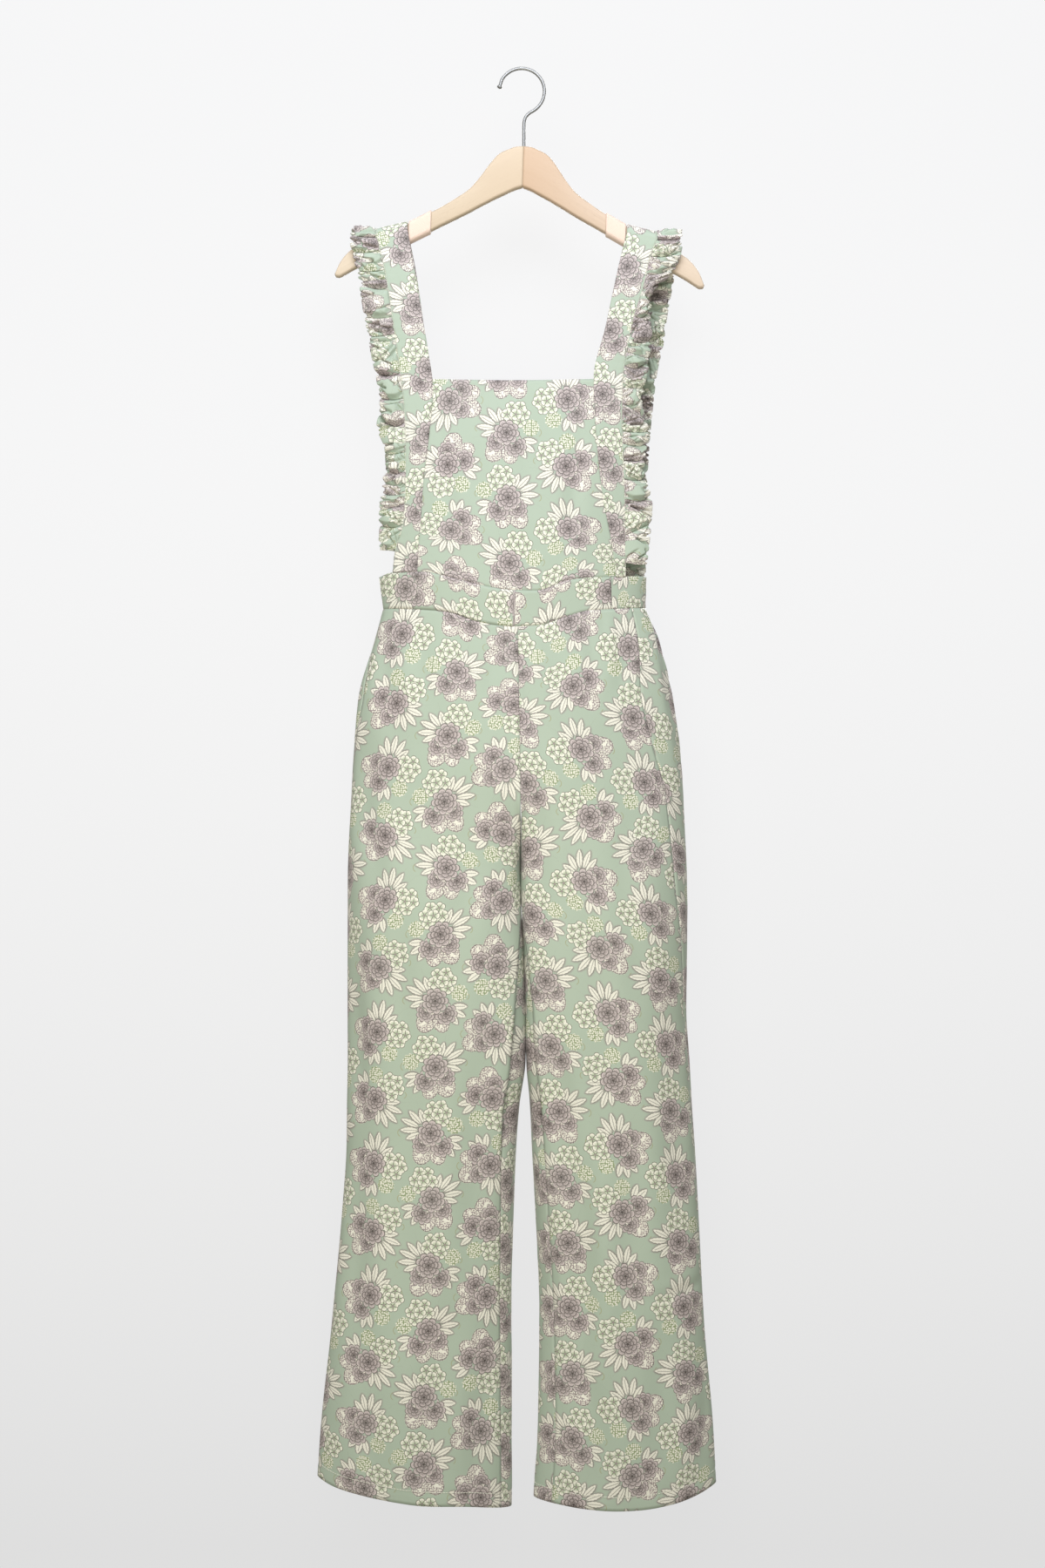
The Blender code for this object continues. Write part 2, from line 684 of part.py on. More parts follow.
# ---------------------------------------------------------------------- main
for thing in list(bpy.data.objects):
    bpy.data.objects.remove(thing, do_unlink=True)

SAGE = (0.52, 0.62, 0.50)
CREAM = (0.90, 0.83, 0.74)

hook((0.75, 0.75, 0.76))
stem_hole([hanger_half("hanger_left", -1, (0.90, 0.74, 0.54)),
           hanger_half("hanger_right", 1, (0.84, 0.64, 0.44))])
grip("grip_left", -1, 103.5, 129.0, CREAM)
grip("grip_right", 1, 97.0, 120.0, CREAM)

strap("strap_left", LEFT_FRONT, LEFT_BACK, SAGE)
strap("strap_right", RIGHT_FRONT, RIGHT_BACK, SAGE)
ruffle("ruffle_left", LEFT_FRONT, LEFT_BACK, LEFT_FRILL, LEFT_GATHERS, -1, SAGE)
ruffle("ruffle_right", RIGHT_FRONT, RIGHT_BACK, RIGHT_FRILL, RIGHT_GATHERS, 1, SAGE)
bib_panel(SAGE)
front_band(SAGE)
back_band(SAGE)
trouser_panel("trouser_front_left", LEFT_LEG, LEFT_HEM, True, 8, SAGE)
trouser_panel("trouser_front_right", RIGHT_LEG, RIGHT_HEM, True, 8, SAGE)
trouser_panel("trouser_back_left", LEFT_LEG, LEFT_HEM, False, 15, SAGE)
trouser_panel("trouser_back_right", RIGHT_LEG, RIGHT_HEM, False, 15, SAGE)
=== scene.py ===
"""Looks of the dungarees on their hanger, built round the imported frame.

Frame: the origin is the inside top of the hook. +X is to the right as seen from the
front, -Y is the front, +Z is up. Sizes below are millimetres; meshes are metres.
Each piece of cloth is a fine shell on the form of its solid, with its creases as relief.
"""
import math

import bmesh
import bpy
import numpy as np
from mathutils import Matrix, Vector


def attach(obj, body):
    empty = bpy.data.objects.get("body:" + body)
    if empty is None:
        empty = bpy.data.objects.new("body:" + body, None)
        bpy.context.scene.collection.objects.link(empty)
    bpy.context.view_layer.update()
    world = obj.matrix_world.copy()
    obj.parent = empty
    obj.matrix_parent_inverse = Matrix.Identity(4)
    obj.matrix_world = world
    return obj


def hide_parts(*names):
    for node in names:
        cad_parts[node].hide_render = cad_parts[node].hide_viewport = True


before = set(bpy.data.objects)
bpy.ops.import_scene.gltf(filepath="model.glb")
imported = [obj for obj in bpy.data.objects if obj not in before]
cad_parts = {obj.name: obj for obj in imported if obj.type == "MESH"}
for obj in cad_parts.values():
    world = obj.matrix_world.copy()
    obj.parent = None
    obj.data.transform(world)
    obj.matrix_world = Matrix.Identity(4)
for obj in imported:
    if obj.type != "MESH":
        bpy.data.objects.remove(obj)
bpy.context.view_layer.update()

MM = 0.001
TURN = 2 * math.pi
TWILL = 1.3          # trouser panels, one layer
DOUBLE = 1.7         # bib, straps and waistbands, two layers
FRILL = 2.0          # ruffles, folded double
UNDER = 1.4          # how far a panel goes under the edge sewn over it
LAP = 0.4            # how far that edge stands above the panel

# ---- the form, as in the solids
WAIST_TOP = -583.0   # height of the waistband's top edge at the sides
WAIST_LOW = -619.0   # height of its bottom edge at the sides
TROUSER_TOP = -620.5
TROUSER_LOW = -1640.0
RISE_BEND = -835.0   # where the centre seams start to curve in to the crotch
CROTCH = -930.0      # the crotch point
HIP_ENDS = -790.0    # where the section of the hips starts to part into two legs
LEG_WHOLE = -1010.0  # and where it has
BAND_NEAR = -520.0   # below this the front's rows follow the waistband
ARM_NEAR = -260.0    # above this the straps' rows follow the arm
SPRING = -190.0      # where a strap starts to turn over the hanger arm
TURN_DEPTH = 9.5     # half the front-to-back size of that turn
TURN_RISE = 10.0     # height of that turn
NECK_TOP = -358.0    # the bib's top edge at its corners
HANGER_X = 2.4       # hanger's middle, right of the hook's middle
HANGER_Z = -88.2     # top of the wood
HANGER_TILT = 1.8    # degrees, right arm lower
WOOD = 12.0          # thickness of the wood
HEM_STITCHES = 16.0  # how far the hem's stitches lie above its edge
FRILL_REACH = 28.0   # how far a ruffle reaches out over the arm
SLOPE_ABOVE = 7.0    # how far a ruffle's cloth slopes down to the crease under it
SLOPE_BELOW = 4.8    # and how far it takes to come out of the crease above it
TUCKED = 13.0        # cloth hidden in each crease of a ruffle
TURN_LENGTH = 34.0   # length of a strap's turn over the arm
BAND_ROWS = 12       # points down the waistbands
BAND_SEAM = -7.0     # where the halves of the front band meet
TIP = 211.0          # where the arm's rounded tip starts
BAND_LOW_RING = (-8.5, 149.5)    # middle and half width of the waistband's low edge
BAND_TOP_RING = (-10.5, 152.5)   # and of its top edge

LEFT_LEG = [
    ("z", "outer", "inner", "inseam", "side"),
    (-619, -158, -5.4, 0, 0), (-660, -169, -5.0, 0, 5), (-722, -187, -4.0, 0, 15),
    (-775, -191.5, -3.0, 0, 6), (-835, -195, -2.4, 0, 2), (-930, -199, -2.1, 3, 0),
    (-1020, -199, 1.4, 20, 0), (-1080, -199, 3.0, 28, 0), (-1134, -199, 3.4, 33, 0),
    (-1188, -200, -4.0, 34, 0), (-1232, -200.5, -7.5, 33, 0), (-1302, -205, -10, 31, 0),
    (-1433, -217, -12, 29, 0), (-1560, -229, -12, 27, 0), (-1640, -234, -12, 26, 0),
]
RIGHT_LEG = [
    ("z", "outer", "inner", "inseam", "side"),
    (-619, 142, -3.4, 0, 28), (-660, 157, -3.0, 0, 32), (-722, 173, -2.0, 0, 38),
    (-775, 181, -1.0, 0, 35), (-835, 186, -0.2, 0, 29), (-930, 190, 0.1, 3, 30),
    (-1020, 189, 3.6, 18, 22), (-1080, 188.5, 5.6, 25, 17), (-1134, 192, 6.0, 28, 13),
    (-1188, 195, 10.5, 30, 10), (-1232, 198, 12.5, 31, 8), (-1302, 202, 16, 32, 6),
    (-1433, 209, 21, 34, 5), (-1560, 219, 19.5, 36, 4), (-1640, 223, 14, 36, 4),
]
DEPTH = [
    ("z", "front", "back", "point", "inside"),
    (-619, 44, 40, 1.0, 1.0), (-660, 49, 44, 1.0, 1.0), (-722, 56, 48, 1.0, 1.0),
    (-775, 60, 52, 1.0, 0.75), (-835, 64, 57, 1.0, 0.52), (-930, 66, 61, 1.0, 0.36),
    (-1080, 61, 58, 1.05, 0.34), (-1232, 52, 50, 1.15, 0.6), (-1400, 45, 43, 1.2, 1.0),
    (-1540, 41, 39, 1.25, 1.1), (-1640, 38, 36, 1.3, 1.15),
]
MIDDLE = [("z", "x"), (-619, -4.4), (-775, -2.0), (-885, -0.6), (-930, -1.0)]
LEFT_HEM = [
    ("x", "z"),
    (-234, -1613), (-215, -1620), (-179, -1627), (-144, -1632.5), (-113, -1636.5), (-66, -1639),
    (-12, -1647),
]
RIGHT_HEM = [
    ("x", "z"),
    (14, -1636), (43, -1638.5), (69, -1641), (103, -1642.5), (132, -1641.5), (174, -1636),
    (200, -1629), (223, -1620),
]
BAND = [
    ("x", "top", "low"),
    (-163, -583, -619), (-147, -578.5, -619.5), (-110, -579, -621.5), (-83, -585, -624.5),
    (-64, -590, -631), (-47, -594.5, -636.5), (-10, -600.5, -641.5), (16, -601, -640.5),
    (53, -589, -630), (74, -586, -624), (99, -584.5, -622), (142, -582, -619),
]
BAND_START = (-161.5, -157.5)   # the front band's left end: x on its top and low edge
BAND_STOP = (101.5, 101.8)      # and its right end, where the back band takes over
BODICE = [
    ("z", "flat", "bow", "middle", "half"),
    (-583, 0, 44, -10.5, 152.5), (-520, 2, 36, -10, 152), (-440, 5, 26, -9, 150),
    (-358, 8, 14, -9, 152), (-280, 9, 7, -6, 175), (-190, 9.5, 0, -4, 210),
]
LEFT_FRONT = [
    ("z", "inner", "outer"),
    (-583, -118, -146.5), (-554, -117, -143.5), (-525, -114.5, -135.5), (-482, -112, -132.5),
    (-422, -105, -133), (-369, -101, -137), (-326, -106.5, -143), (-285, -113.5, -149),
    (-235, -122, -157), (-186, -131.5, -168),
]
RIGHT_FRONT = [
    ("z", "inner", "outer"),
    (-583, 107, 118), (-547, 102.3, 118.3), (-487, 91, 117.7), (-412, 84, 115), (-358, 82, 116.5),
    (-296, 96, 126.5), (-247, 106.5, 141), (-215, 114, 147.5), (-187, 121.5, 156.5),
]
LEFT_BACK = [
    ("z", "inner", "outer"),
    (-583, -94, -130), (-480, -99, -135), (-413, -103, -139), (-350, -107, -143),
    (-290, -113, -149), (-235, -121, -157), (-187, -131.5, -168),
]
RIGHT_BACK = [
    ("z", "inner", "outer"),
    (-583, 82, 118), (-480, 88, 124), (-413, 92, 128), (-350, 97, 133), (-290, 103, 138.5),
    (-235, 113, 148), (-187, 121.5, 156.5),
]
LEFT_FRILL = [
    ("z", "reach", "turn"),
    (-554, 18, 20), (-520, 27, 20), (-500, 28, 18), (-477, 26, 15), (-443, 21, 15), (-411, 31, 12),
    (-385, 25, 10), (-361, 26, 10), (-328, 28, 8), (-285, 30, 6), (-245, 30, 4), (-210, 31, 2),
    (-187, 28, 0),
]
RIGHT_FRILL = [
    ("z", "reach", "turn"),
    (-568, 24, 10), (-500, 30, 10), (-463, 22, 20), (-416, 30, 14), (-386, 21, 25), (-340, 27, 20),
    (-311, 26, 25), (-282, 18, 35), (-258, 11, 50), (-234, 28, 9), (-218, 33, 4), (-187, 28, 0),
]
BACK_FRILL = [
    ("z", "reach"),
    (-583, 25), (-560, 24), (-530, 20), (-440, 20), (-350, 22), (-300, 27.5), (-187, 27.5),
]
# The creases across each ruffle: height at its seam, how much lower its outer end is, how
# far its middle sags, and how high the puff next to it stands (above it in front, below it
# at the back).
LEFT_CREASES = [
    (-554, 0, 0, 5), (-523, 0, 3, 8), (-499, 8, 0, 6), (-488, 0, 1, 3), (-477, -2, 2, 5),
    (-458, 0, 7, 7), (-440, 3, 0, 5), (-405, -8, 9, 9), (-378, 0, 2, 7), (-349, 1, 3, 8),
    (-313, -1, 0, 7), (-305, 2, 0, 2.5), (-285, 0, 1, 6), (-252, -5, 3, 8), (-241, 3, 0, 3.5),
    (-232, 0, 0, 3), (-208, 0, 1, 7), (-190, 0, 0, 5),
]
RIGHT_CREASES = [
    (-568, 0, 0, 3), (-536, -14, 0, 5), (-494, -2, 3, 8), (-471, 0, 1, 7), (-450, 0, 0, 4),
    (-430, 1, 2, 6), (-416, 0, 1, 4), (-386, 14, -4, 8), (-366, 0, 0, 6), (-340, -3, 5, 8),
    (-325, 6, 0, 4), (-311, 0, 3, 4), (-284, -6, 4, 8), (-258, 8, 0, 7), (-234, -8, 4, 6),
    (-211, -4, 3, 7), (-190, 0, 0, 5),
]
BACK_CREASES = [
    (-190, 0, 0, 4), (-214, 3, 2, 6), (-243, 0, 3, 8), (-266, -4, 0, 6), (-293, 2, 3, 7),
    (-318, 0, 0, 6), (-349, 5, 2, 8), (-371, 0, 2, 6), (-402, -3, 4, 8), (-426, 0, 0, 6),
    (-455, 4, 3, 8), (-479, 0, 0, 6), (-509, -4, 2, 8), (-534, 0, 1, 6), (-562, 0, 0, 6),
    (-583, 0, 0, 5),
]
ARM = [
    ("along", "top", "low"),
    (0, 0, 47), (9, 0.8, 50), (17, 4, 54), (24, 7, 57.5), (30, 11.5, 60.5), (39, 22.5, 65.5),
    (48, 35.5, 70.5), (61, 51, 78), (76, 62, 86), (94, 73.5, 95.5), (106, 80, 102), (134, 95, 117),
    (160, 107, 131), (180, 116, 141.5), (192, 123, 148), (201, 132, 153.5), (207, 141, 156.5),
    (211, 151, 156),
]
# Creases of the panels: distance from the panel's middle and from its top, length, lean in
# degrees, width and depth.
FRONT_LEFT_FOLDS = [
    (-62, 60, 120, 6, 9, 1.4), (-28, 48, 90, -4, 8, 1.0), (20, 60, 130, -8, 10, 1.2),
    (60, 90, 150, -14, 11, 1.6), (70, 250, 240, -8, 14, 2.2), (-40, 330, 380, 3, 16, 1.6),
    (20, 420, 340, -3, 15, 1.8), (78, 480, 300, -5, 13, 2.4), (-70, 620, 420, 2, 17, 2.2),
    (8, 700, 360, 2, 18, 2.2), (66, 740, 300, -2, 15, 2.6), (-30, 900, 260, 1, 16, 2.0),
    (44, 930, 220, -2, 14, 2.0), (-84, 930, 220, 4, 13, 1.8),
]
FRONT_RIGHT_FOLDS = [
    (52, 56, 110, -8, 9, 1.4), (14, 50, 90, 3, 8, 1.0), (-26, 64, 130, 8, 10, 1.2),
    (-60, 110, 170, 12, 11, 1.6), (-64, 270, 260, 7, 14, 2.2), (36, 320, 360, -4, 16, 1.8),
    (-16, 430, 330, 4, 15, 1.8), (-70, 560, 260, 4, 13, 2.6), (58, 600, 380, -3, 16, 2.0),
    (4, 690, 340, -3, 17, 2.2), (62, 776, 110, -76, 7, 1.6), (-58, 770, 340, -3, 15, 6.0),
    (26, 900, 280, -2, 16, 2.0), (-48, 940, 200, 3, 13, 2.2), (82, 930, 210, -4, 13, 1.8),
]
BACK_FOLDS = [
    (-66, 300, 340, 5, 16, 2.2), (-22, 380, 420, 2, 17, 2.0), (30, 340, 360, -3, 15, 2.2),
    (72, 440, 360, -4, 16, 2.4), (-50, 640, 380, 3, 17, 2.4), (10, 700, 400, -2, 18, 2.2),
    (62, 760, 320, -3, 16, 2.4), (-28, 920, 240, 2, 16, 2.0), (40, 930, 220, -2, 15, 2.0),
]
BIB_FOLDS = [
    (-74, 120, 190, 5, 9, 1.5), (70, 130, 190, -7, 9, 1.6), (-30, 150, 130, 3, 16, 1.0),
    (24, 90, 150, -4, 17, 1.0), (4, 185, 80, 0, 14, 0.9),
]


def read(table, name, at):
    """A named column's values at places in the first column, smooth between its rows."""
    place = table[0].index(name)
    where, value = np.array(sorted((row[0], row[place]) for row in table[1:]), float).T
    step = np.diff(where)
    rise = np.diff(value) / step
    slope = np.zeros(len(where))
    slope[0] = rise[0]
    slope[-1] = rise[-1]
    for i in range(1, len(rise)):
        if rise[i - 1] * rise[i] > 0:
            before = step[i] + 2 * step[i - 1]
            after = 2 * step[i] + step[i - 1]
            slope[i] = (before + after) / (after / rise[i - 1] + before / rise[i])
    at = np.clip(np.asarray(at, float), where[0], where[-1])
    i = np.clip(np.searchsorted(where, at, side="right") - 1, 0, len(step) - 1)
    t = (at - where[i]) / step[i]
    return ((1 + 2 * t) * (1 - t) ** 2 * value[i] + t * (1 - t) ** 2 * step[i] * slope[i]
            + t * t * (3 - 2 * t) * value[i + 1] + t * t * (t - 1) * step[i] * slope[i + 1])


def reads(table, names, at):
    """Several named columns at once."""
    return [read(table, name, at) for name in names.split()]


def fade(low, high, at):
    """0 at low, 1 at high, eased between."""
    t = np.clip((np.asarray(at, float) - low) / (high - low), 0.0, 1.0)
    return t * t * (3 - 2 * t)


def falling(at, reach):
    """1 at 0, straight down to 0 at a reach."""
    return np.clip(1.0 - at / reach, 0.0, 1.0)


def mix(a, b, t):
    return a + (b - a) * t


def shares(count):
    """Shares from 0 to 1 across a grid's columns."""
    return np.linspace(0, 1, count)[None, :]


# ---- node maths
def math_node(kind):
    """A method that adds one math node of this kind."""
    return lambda self, *others: self.does(kind, *others)


class Number:
    """A number in a material's node tree, so that its sums read as sums."""

    def __init__(self, tree, socket):
        self.tree = tree
        self.socket = socket

    def does(self, kind, *others):
        node = self.tree.nodes.new("ShaderNodeMath")
        node.operation = kind
        for place, value in zip(node.inputs, (self, *others)):
            if isinstance(value, Number):
                self.tree.links.new(value.socket, place)
            else:
                place.default_value = value
        return Number(self.tree, node.outputs[0])

    __add__ = math_node("ADD")
    __sub__ = math_node("SUBTRACT")
    __mul__ = math_node("MULTIPLY")
    __truediv__ = math_node("DIVIDE")
    __pow__ = math_node("POWER")
    under = math_node("LESS_THAN")       # 1 where this is less than the other, else 0
    over = math_node("GREATER_THAN")
    at_least = math_node("MAXIMUM")
    at_most = math_node("MINIMUM")
    modulo = math_node("FLOORED_MODULO")
    size = math_node("ABSOLUTE")
    root = math_node("SQRT")
    sine = math_node("SINE")
    cosine = math_node("COSINE")
    arctan = math_node("ARCTAN2")
    part = math_node("FRACT")            # what is left above the whole number
    whole = math_node("FLOOR")

    def zigzag(self):
        """A half at each whole number, and 0 half way between them."""
        return (self.part() - 0.5).size()


def fill(node, values):
    """Sets a node's sockets by name, a space in a name written as _."""
    for name, value in values.items():
        node.inputs[name.replace("_", " ")].default_value = value


def add_node(tree, kind, joined=None, **values):
    """A new shader node, with inputs joined to sockets and others set to values."""
    node = tree.nodes.new("ShaderNode" + kind)
    for name, socket in (joined or {}).items():
        tree.links.new(socket, node.inputs[name])
    fill(node, values)
    return node


def blend(low, high, share):
    """One colour over another. A colour is a tuple or a socket, share a Number."""
    node = add_node(share.tree, "Mix")
    node.data_type = "RGBA"
    share.tree.links.new(share.socket, node.inputs["Factor"])
    for place, colour in ((node.inputs[6], low), (node.inputs[7], high)):
        if isinstance(colour, tuple):
            place.default_value = (*colour, 1.0)
        else:
            share.tree.links.new(colour, place)
    return node.outputs[2]


def cloth_place(tree):
    """The place on the cut cloth, and its two parts in millimetres."""
    pin = add_node(tree, "UVMap")
    pin.uv_map = "Cut"
    split = add_node(tree, "SeparateXYZ", {0: pin.outputs[0]})
    return (pin.outputs[0], Number(tree, split.outputs[0]) * 1000.0,
            Number(tree, split.outputs[1]) * 1000.0)


def noise(tree, place, scale, **values):
    """Noise from 0 to 1. A pair of scales stretches it along the cloth's two ways."""
    if isinstance(scale, tuple):
        place = add_node(tree, "Mapping", {"Vector": place}, Scale=(*scale, 1.0)).outputs[0]
        scale = 1.0
    node = add_node(tree, "TexNoise", {"Vector": place}, Scale=scale, **values)
    return Number(tree, node.outputs["Fac"])


def polar(x, y, at_x, at_y):
    """Distance and angle about a point."""
    x = x - at_x
    y = y - at_y
    return (x * x + y * y).root(), y.arctan(x)


# ---- print
GROUND = (0.400, 0.474, 0.396)
CREAM = (0.815, 0.795, 0.725)
MAUVE = (0.315, 0.262, 0.268)
MAUVE_PALE = (0.64, 0.565, 0.57)
INK = (0.085, 0.072, 0.070)
INK_GREEN = (0.085, 0.095, 0.060)
PALE_GREEN = (0.47, 0.53, 0.40)
DARK_GREEN = (0.26, 0.32, 0.18)
OLIVE = (0.32, 0.30, 0.15)
CELL_WIDE = 67.0     # one spray of flowers to each cell, neighbours half a cell lower
CELL_TALL = 75.0
SPRAY_SHARE = 0.94   # places are shrunk by this, which draws each spray 6% larger
# each round of petals in a flower: its share of the reach, its petals and their turn
ROUNDS = ((1.0, 9, 0.1), (0.72, 7, 0.45), (0.46, 6, 0.2), (0.24, 5, 0.7))


def petals_round(distance, angle, reach, petals, phase, line):
    """A round of petals: where it covers, its ink lines, and the way out as a share."""
    off = (angle * (petals / TURN) + phase).zigzag() * 2.0
    edge = (off * off * -1.0 + 1.0).at_least(0.0) ** 0.5 * (0.30 * reach) + 0.70 * reach
    rim = distance.over(edge - line)
    gap = ((off * -1.0 + 1.0) * distance * (math.pi / petals)).under(line * 0.55)
    return distance.under(edge), rim.at_least(gap), distance / edge


def choose(first, second, share):
    """The first number where share is 0, the second where it is 1."""
    return first + (second - first) * share


def blooms(colour, x, y, flowers):
    """Open flowers, the first over the later ones: rounds of petals one inside the other,
    each petal streaked from its middle. A flower is its place and its reach."""
    distance = angle = None
    for *at, reach in reversed(flowers):
        near, near_angle = polar(x, y, *at)
        near = near / reach
        inside = near.under(1.0)
        distance = near if distance is None else choose(distance, near, inside)
        angle = near_angle if angle is None else choose(angle, near_angle, inside)
    streak = (angle * (36 / TURN)).zigzag().under(0.20) * 0.75
    for share, petals, phase in ROUNDS:
        cover, lines, out = petals_round(distance, angle, share, petals, phase, 0.07)
        petal = blend(MAUVE, MAUVE_PALE, out * out)
        petal = blend(petal, INK, lines.at_least(streak * out.under(0.80)) * 0.85)
        colour = blend(colour, petal, cover)
    return blend(colour, INK, distance.under(0.08))


def blossom(colour, distance, angle, reach, phase):
    """A small cream five-petalled blossom, green towards its eye."""
    cover, lines, out = petals_round(distance, angle, reach, 5, phase, 0.75)
    petal = blend(PALE_GREEN, CREAM, (out * 2.2 - 0.7).at_least(0.0).at_most(1.0))
    petal = blend(petal, INK_GREEN, lines * 0.85)
    petal = blend(petal, MAUVE, distance.under(reach * 0.16))
    return blend(colour, petal, cover)


def blossom_head(colour, x, y, at, ring, reach):
    """A round head of small blossoms: one in the middle and six round it."""
    distance, angle = polar(x, y, *at)
    sixth = angle * (6 / TURN) + 0.1
    fold = (sixth.part() - 0.5) * (math.pi / 3)
    near, turn = polar(distance * fold.cosine(), distance * fold.sine(), ring, 0.0)
    colour = blossom(colour, near, turn, reach, sixth.whole() * 0.37)
    return blossom(colour, distance, angle, reach * 1.05, 0.3)


def leaf_fan(colour, x, y, at, aim, spread, leaves, reach, half):
    """Leaves that spread from one stalk, toothed, with a rib, veins, an ink outline that
    is heavier on one side, and a faint shade round them."""
    distance, angle = polar(x, y, *at)
    lean = ((angle - math.radians(aim)) / TURN + 0.5).part() - 0.5
    lean = lean * (360.0 / spread)
    shift = 0.0 if leaves % 2 else 0.5
    last = (leaves - 1) / 2
    nearest = ((lean + (0.5 - shift)).whole() + shift).at_most(last).at_least(-last)
    lean = (lean - nearest) * math.radians(spread)
    along = (distance * lean.cosine()) / (nearest * nearest * -0.05 * reach + reach)
    aside = distance * lean.sine()
    span = ((along - 0.30) / 0.70).at_least(0.0001).at_most(0.9999)
    tooth = (along * 8.0).zigzag() * 1.1
    wide = (span * math.pi).sine().at_least(0.0) ** 0.62 * (tooth * -1.0 + half)
    apart = aside.size()
    line = apart.over(wide - aside.over(0.0) * 0.50 - 0.60)
    rib = apart.under(0.38) * along.under(0.88)
    vein = ((along * reach - apart * 1.2) * 0.42).part().under(0.20) * 0.42
    shade = blend(colour, MAUVE, (apart - 1.3).under(wide) * along.under(1.03) * 0.38)
    shade = blend(colour, shade, along.over(0.32))
    leaf = blend(CREAM, INK, line.at_least(rib * 0.75).at_least(vein) * 0.78)
    return blend(shade, leaf, apart.under(wide))


def dotted(tree, place, scale, size):
    """1 on small dots of about the same size, set close."""
    dots = add_node(tree, "TexVoronoi", Scale=scale, Randomness=0.55)
    dots.voronoi_dimensions = "2D"
    tree.links.new(place, dots.inputs["Vector"])
    return Number(tree, dots.outputs["Distance"]).under(size)


def stippled_leaf(colour, place, x, y, at, aim, length, half):
    """A rounded leaf: cream dots on mauve, with a plain cream crescent inside."""
    a = math.radians(aim)
    along = (x - at[0]) * (math.cos(a) / length) + (y - at[1]) * (math.sin(a) / length)
    aside = (y - at[1]) * (math.cos(a) / half) - (x - at[0]) * (math.sin(a) / half)
    out = (along * along + aside * aside).root()
    plain = (along * along + (aside + 0.45) * (aside + 0.45)).under(0.36)
    plain = plain * (along * along + (aside + 0.85) * (aside + 0.85)).over(0.42)
    leaf = blend(MAUVE, CREAM, dotted(x.tree, place, 500.0, 0.40).at_least(plain) * 0.95)
    leaf = blend(leaf, INK, (out - 0.95).size().under(0.03) * 0.7)
    return blend(colour, leaf, out.under(1.0))


def sprig(colour, place, x, y, at, reach):
    """A fluffy seed head: pale dots on a green round with a ragged edge."""
    distance, angle = polar(x, y, *at)
    ragged = (angle * (11 / TURN)).zigzag() * 2.6
    head = blend(DARK_GREEN, CREAM, dotted(x.tree, place, 430.0, 0.40) * 0.9)
    return blend(colour, head, (distance + ragged).under(reach))


def curl(colour, x, y, at, reach):
    """A thin curl drawn on the ground."""
    distance, angle = polar(x, y, *at)
    line = (distance - reach).size().under(0.36) * angle.size().under(1.15)
    return blend(colour, OLIVE, line * 0.8)


def nearest_spray(u, v):
    """Where a point lies from the middle of the spray nearest to it, and that spray's
    column, row and half of the repeat. Every second column is half a spray lower."""
    cells = []
    for odd in (0.0, 0.5):
        across = u / (2 * CELL_WIDE) + odd
        down = v / CELL_TALL + odd
        column = across.whole()
        row = down.whole()
        x = (across - column - 0.5) * (2 * CELL_WIDE)
        y = (row - down + 0.5) * CELL_TALL
        cells.append((x, y, column, row, x * x + y * y))
    first, second = cells
    odd = second[4].under(first[4])
    return [choose(first[k], second[k], odd) for k in range(4)] + [odd]


def printed(tree):
    """The all-over print: sprays, each turned and mirrored its own way."""
    place, u, v = cloth_place(tree)
    x, y, column, row, odd = nearest_spray(u, v)
    turn = (column.modulo(2.0) * 0.37 + row.modulo(2.0) * 0.44 + odd * 0.21 + 0.08) * TURN
    flip = (column + row).modulo(2.0) * 2.0 - 1.0
    sine = turn.sine()
    cosine = turn.cosine()
    px = (x * cosine - y * sine) * flip * SPRAY_SHARE
    py = (x * sine + y * cosine) * SPRAY_SHARE
    colour = curl(GROUND, x, y, (34.0, 0.0), 4.6)
    colour = curl(colour, x * -1.0, y, (33.0, 5.0), 3.8)
    for at, aim, length, half in (((-17.0, 13.5), 140.0, 15.0, 11.0),
                                  ((-23.0, 0.0), 186.0, 12.0, 9.0)):
        colour = stippled_leaf(colour, place, px, py, at, aim, length, half)
    for at, aim, spread, leaves, reach, half in (((3.5, 4.0), 52.0, 23.0, 5, 31.0, 4.1),
                                                 ((-8.0, -7.0), 230.0, 26.0, 3, 26.0, 4.4)):
        colour = leaf_fan(colour, px, py, at, aim, spread, leaves, reach, half)
    colour = sprig(colour, place, px, py, (2.0, -25.5), reach=9.5)
    colour = blossom_head(colour, px, py, (18.5, -11.0), ring=9.6, reach=6.8)
    flowers = ((0.0, 1.0, 14.5), (-16.0, -7.0, 12.5), (-9.0, 13.0, 11.0))
    return place, blooms(colour, px, py, flowers)


# ---- materials
def material(name):
    made = bpy.data.materials.new(name)
    made.use_nodes = True
    return made, made.node_tree, made.node_tree.nodes["Principled BSDF"]


def join(tree, shader, colour, rough, height=None, strength=0.0, distance=0.0, **values):
    """Joins a look to its shader: colour, roughness, height as bumps, and plain values."""
    tree.links.new(colour, shader.inputs["Base Color"])
    if isinstance(rough, Number):
        tree.links.new(rough.socket, shader.inputs["Roughness"])
    else:
        shader.inputs["Roughness"].default_value = rough
    if height is not None:
        bump = add_node(tree, "Bump", {"Height": height.socket}, Strength=strength,
                        Distance=distance)
        tree.links.new(bump.outputs[0], shader.inputs["Normal"])
    fill(shader, values)


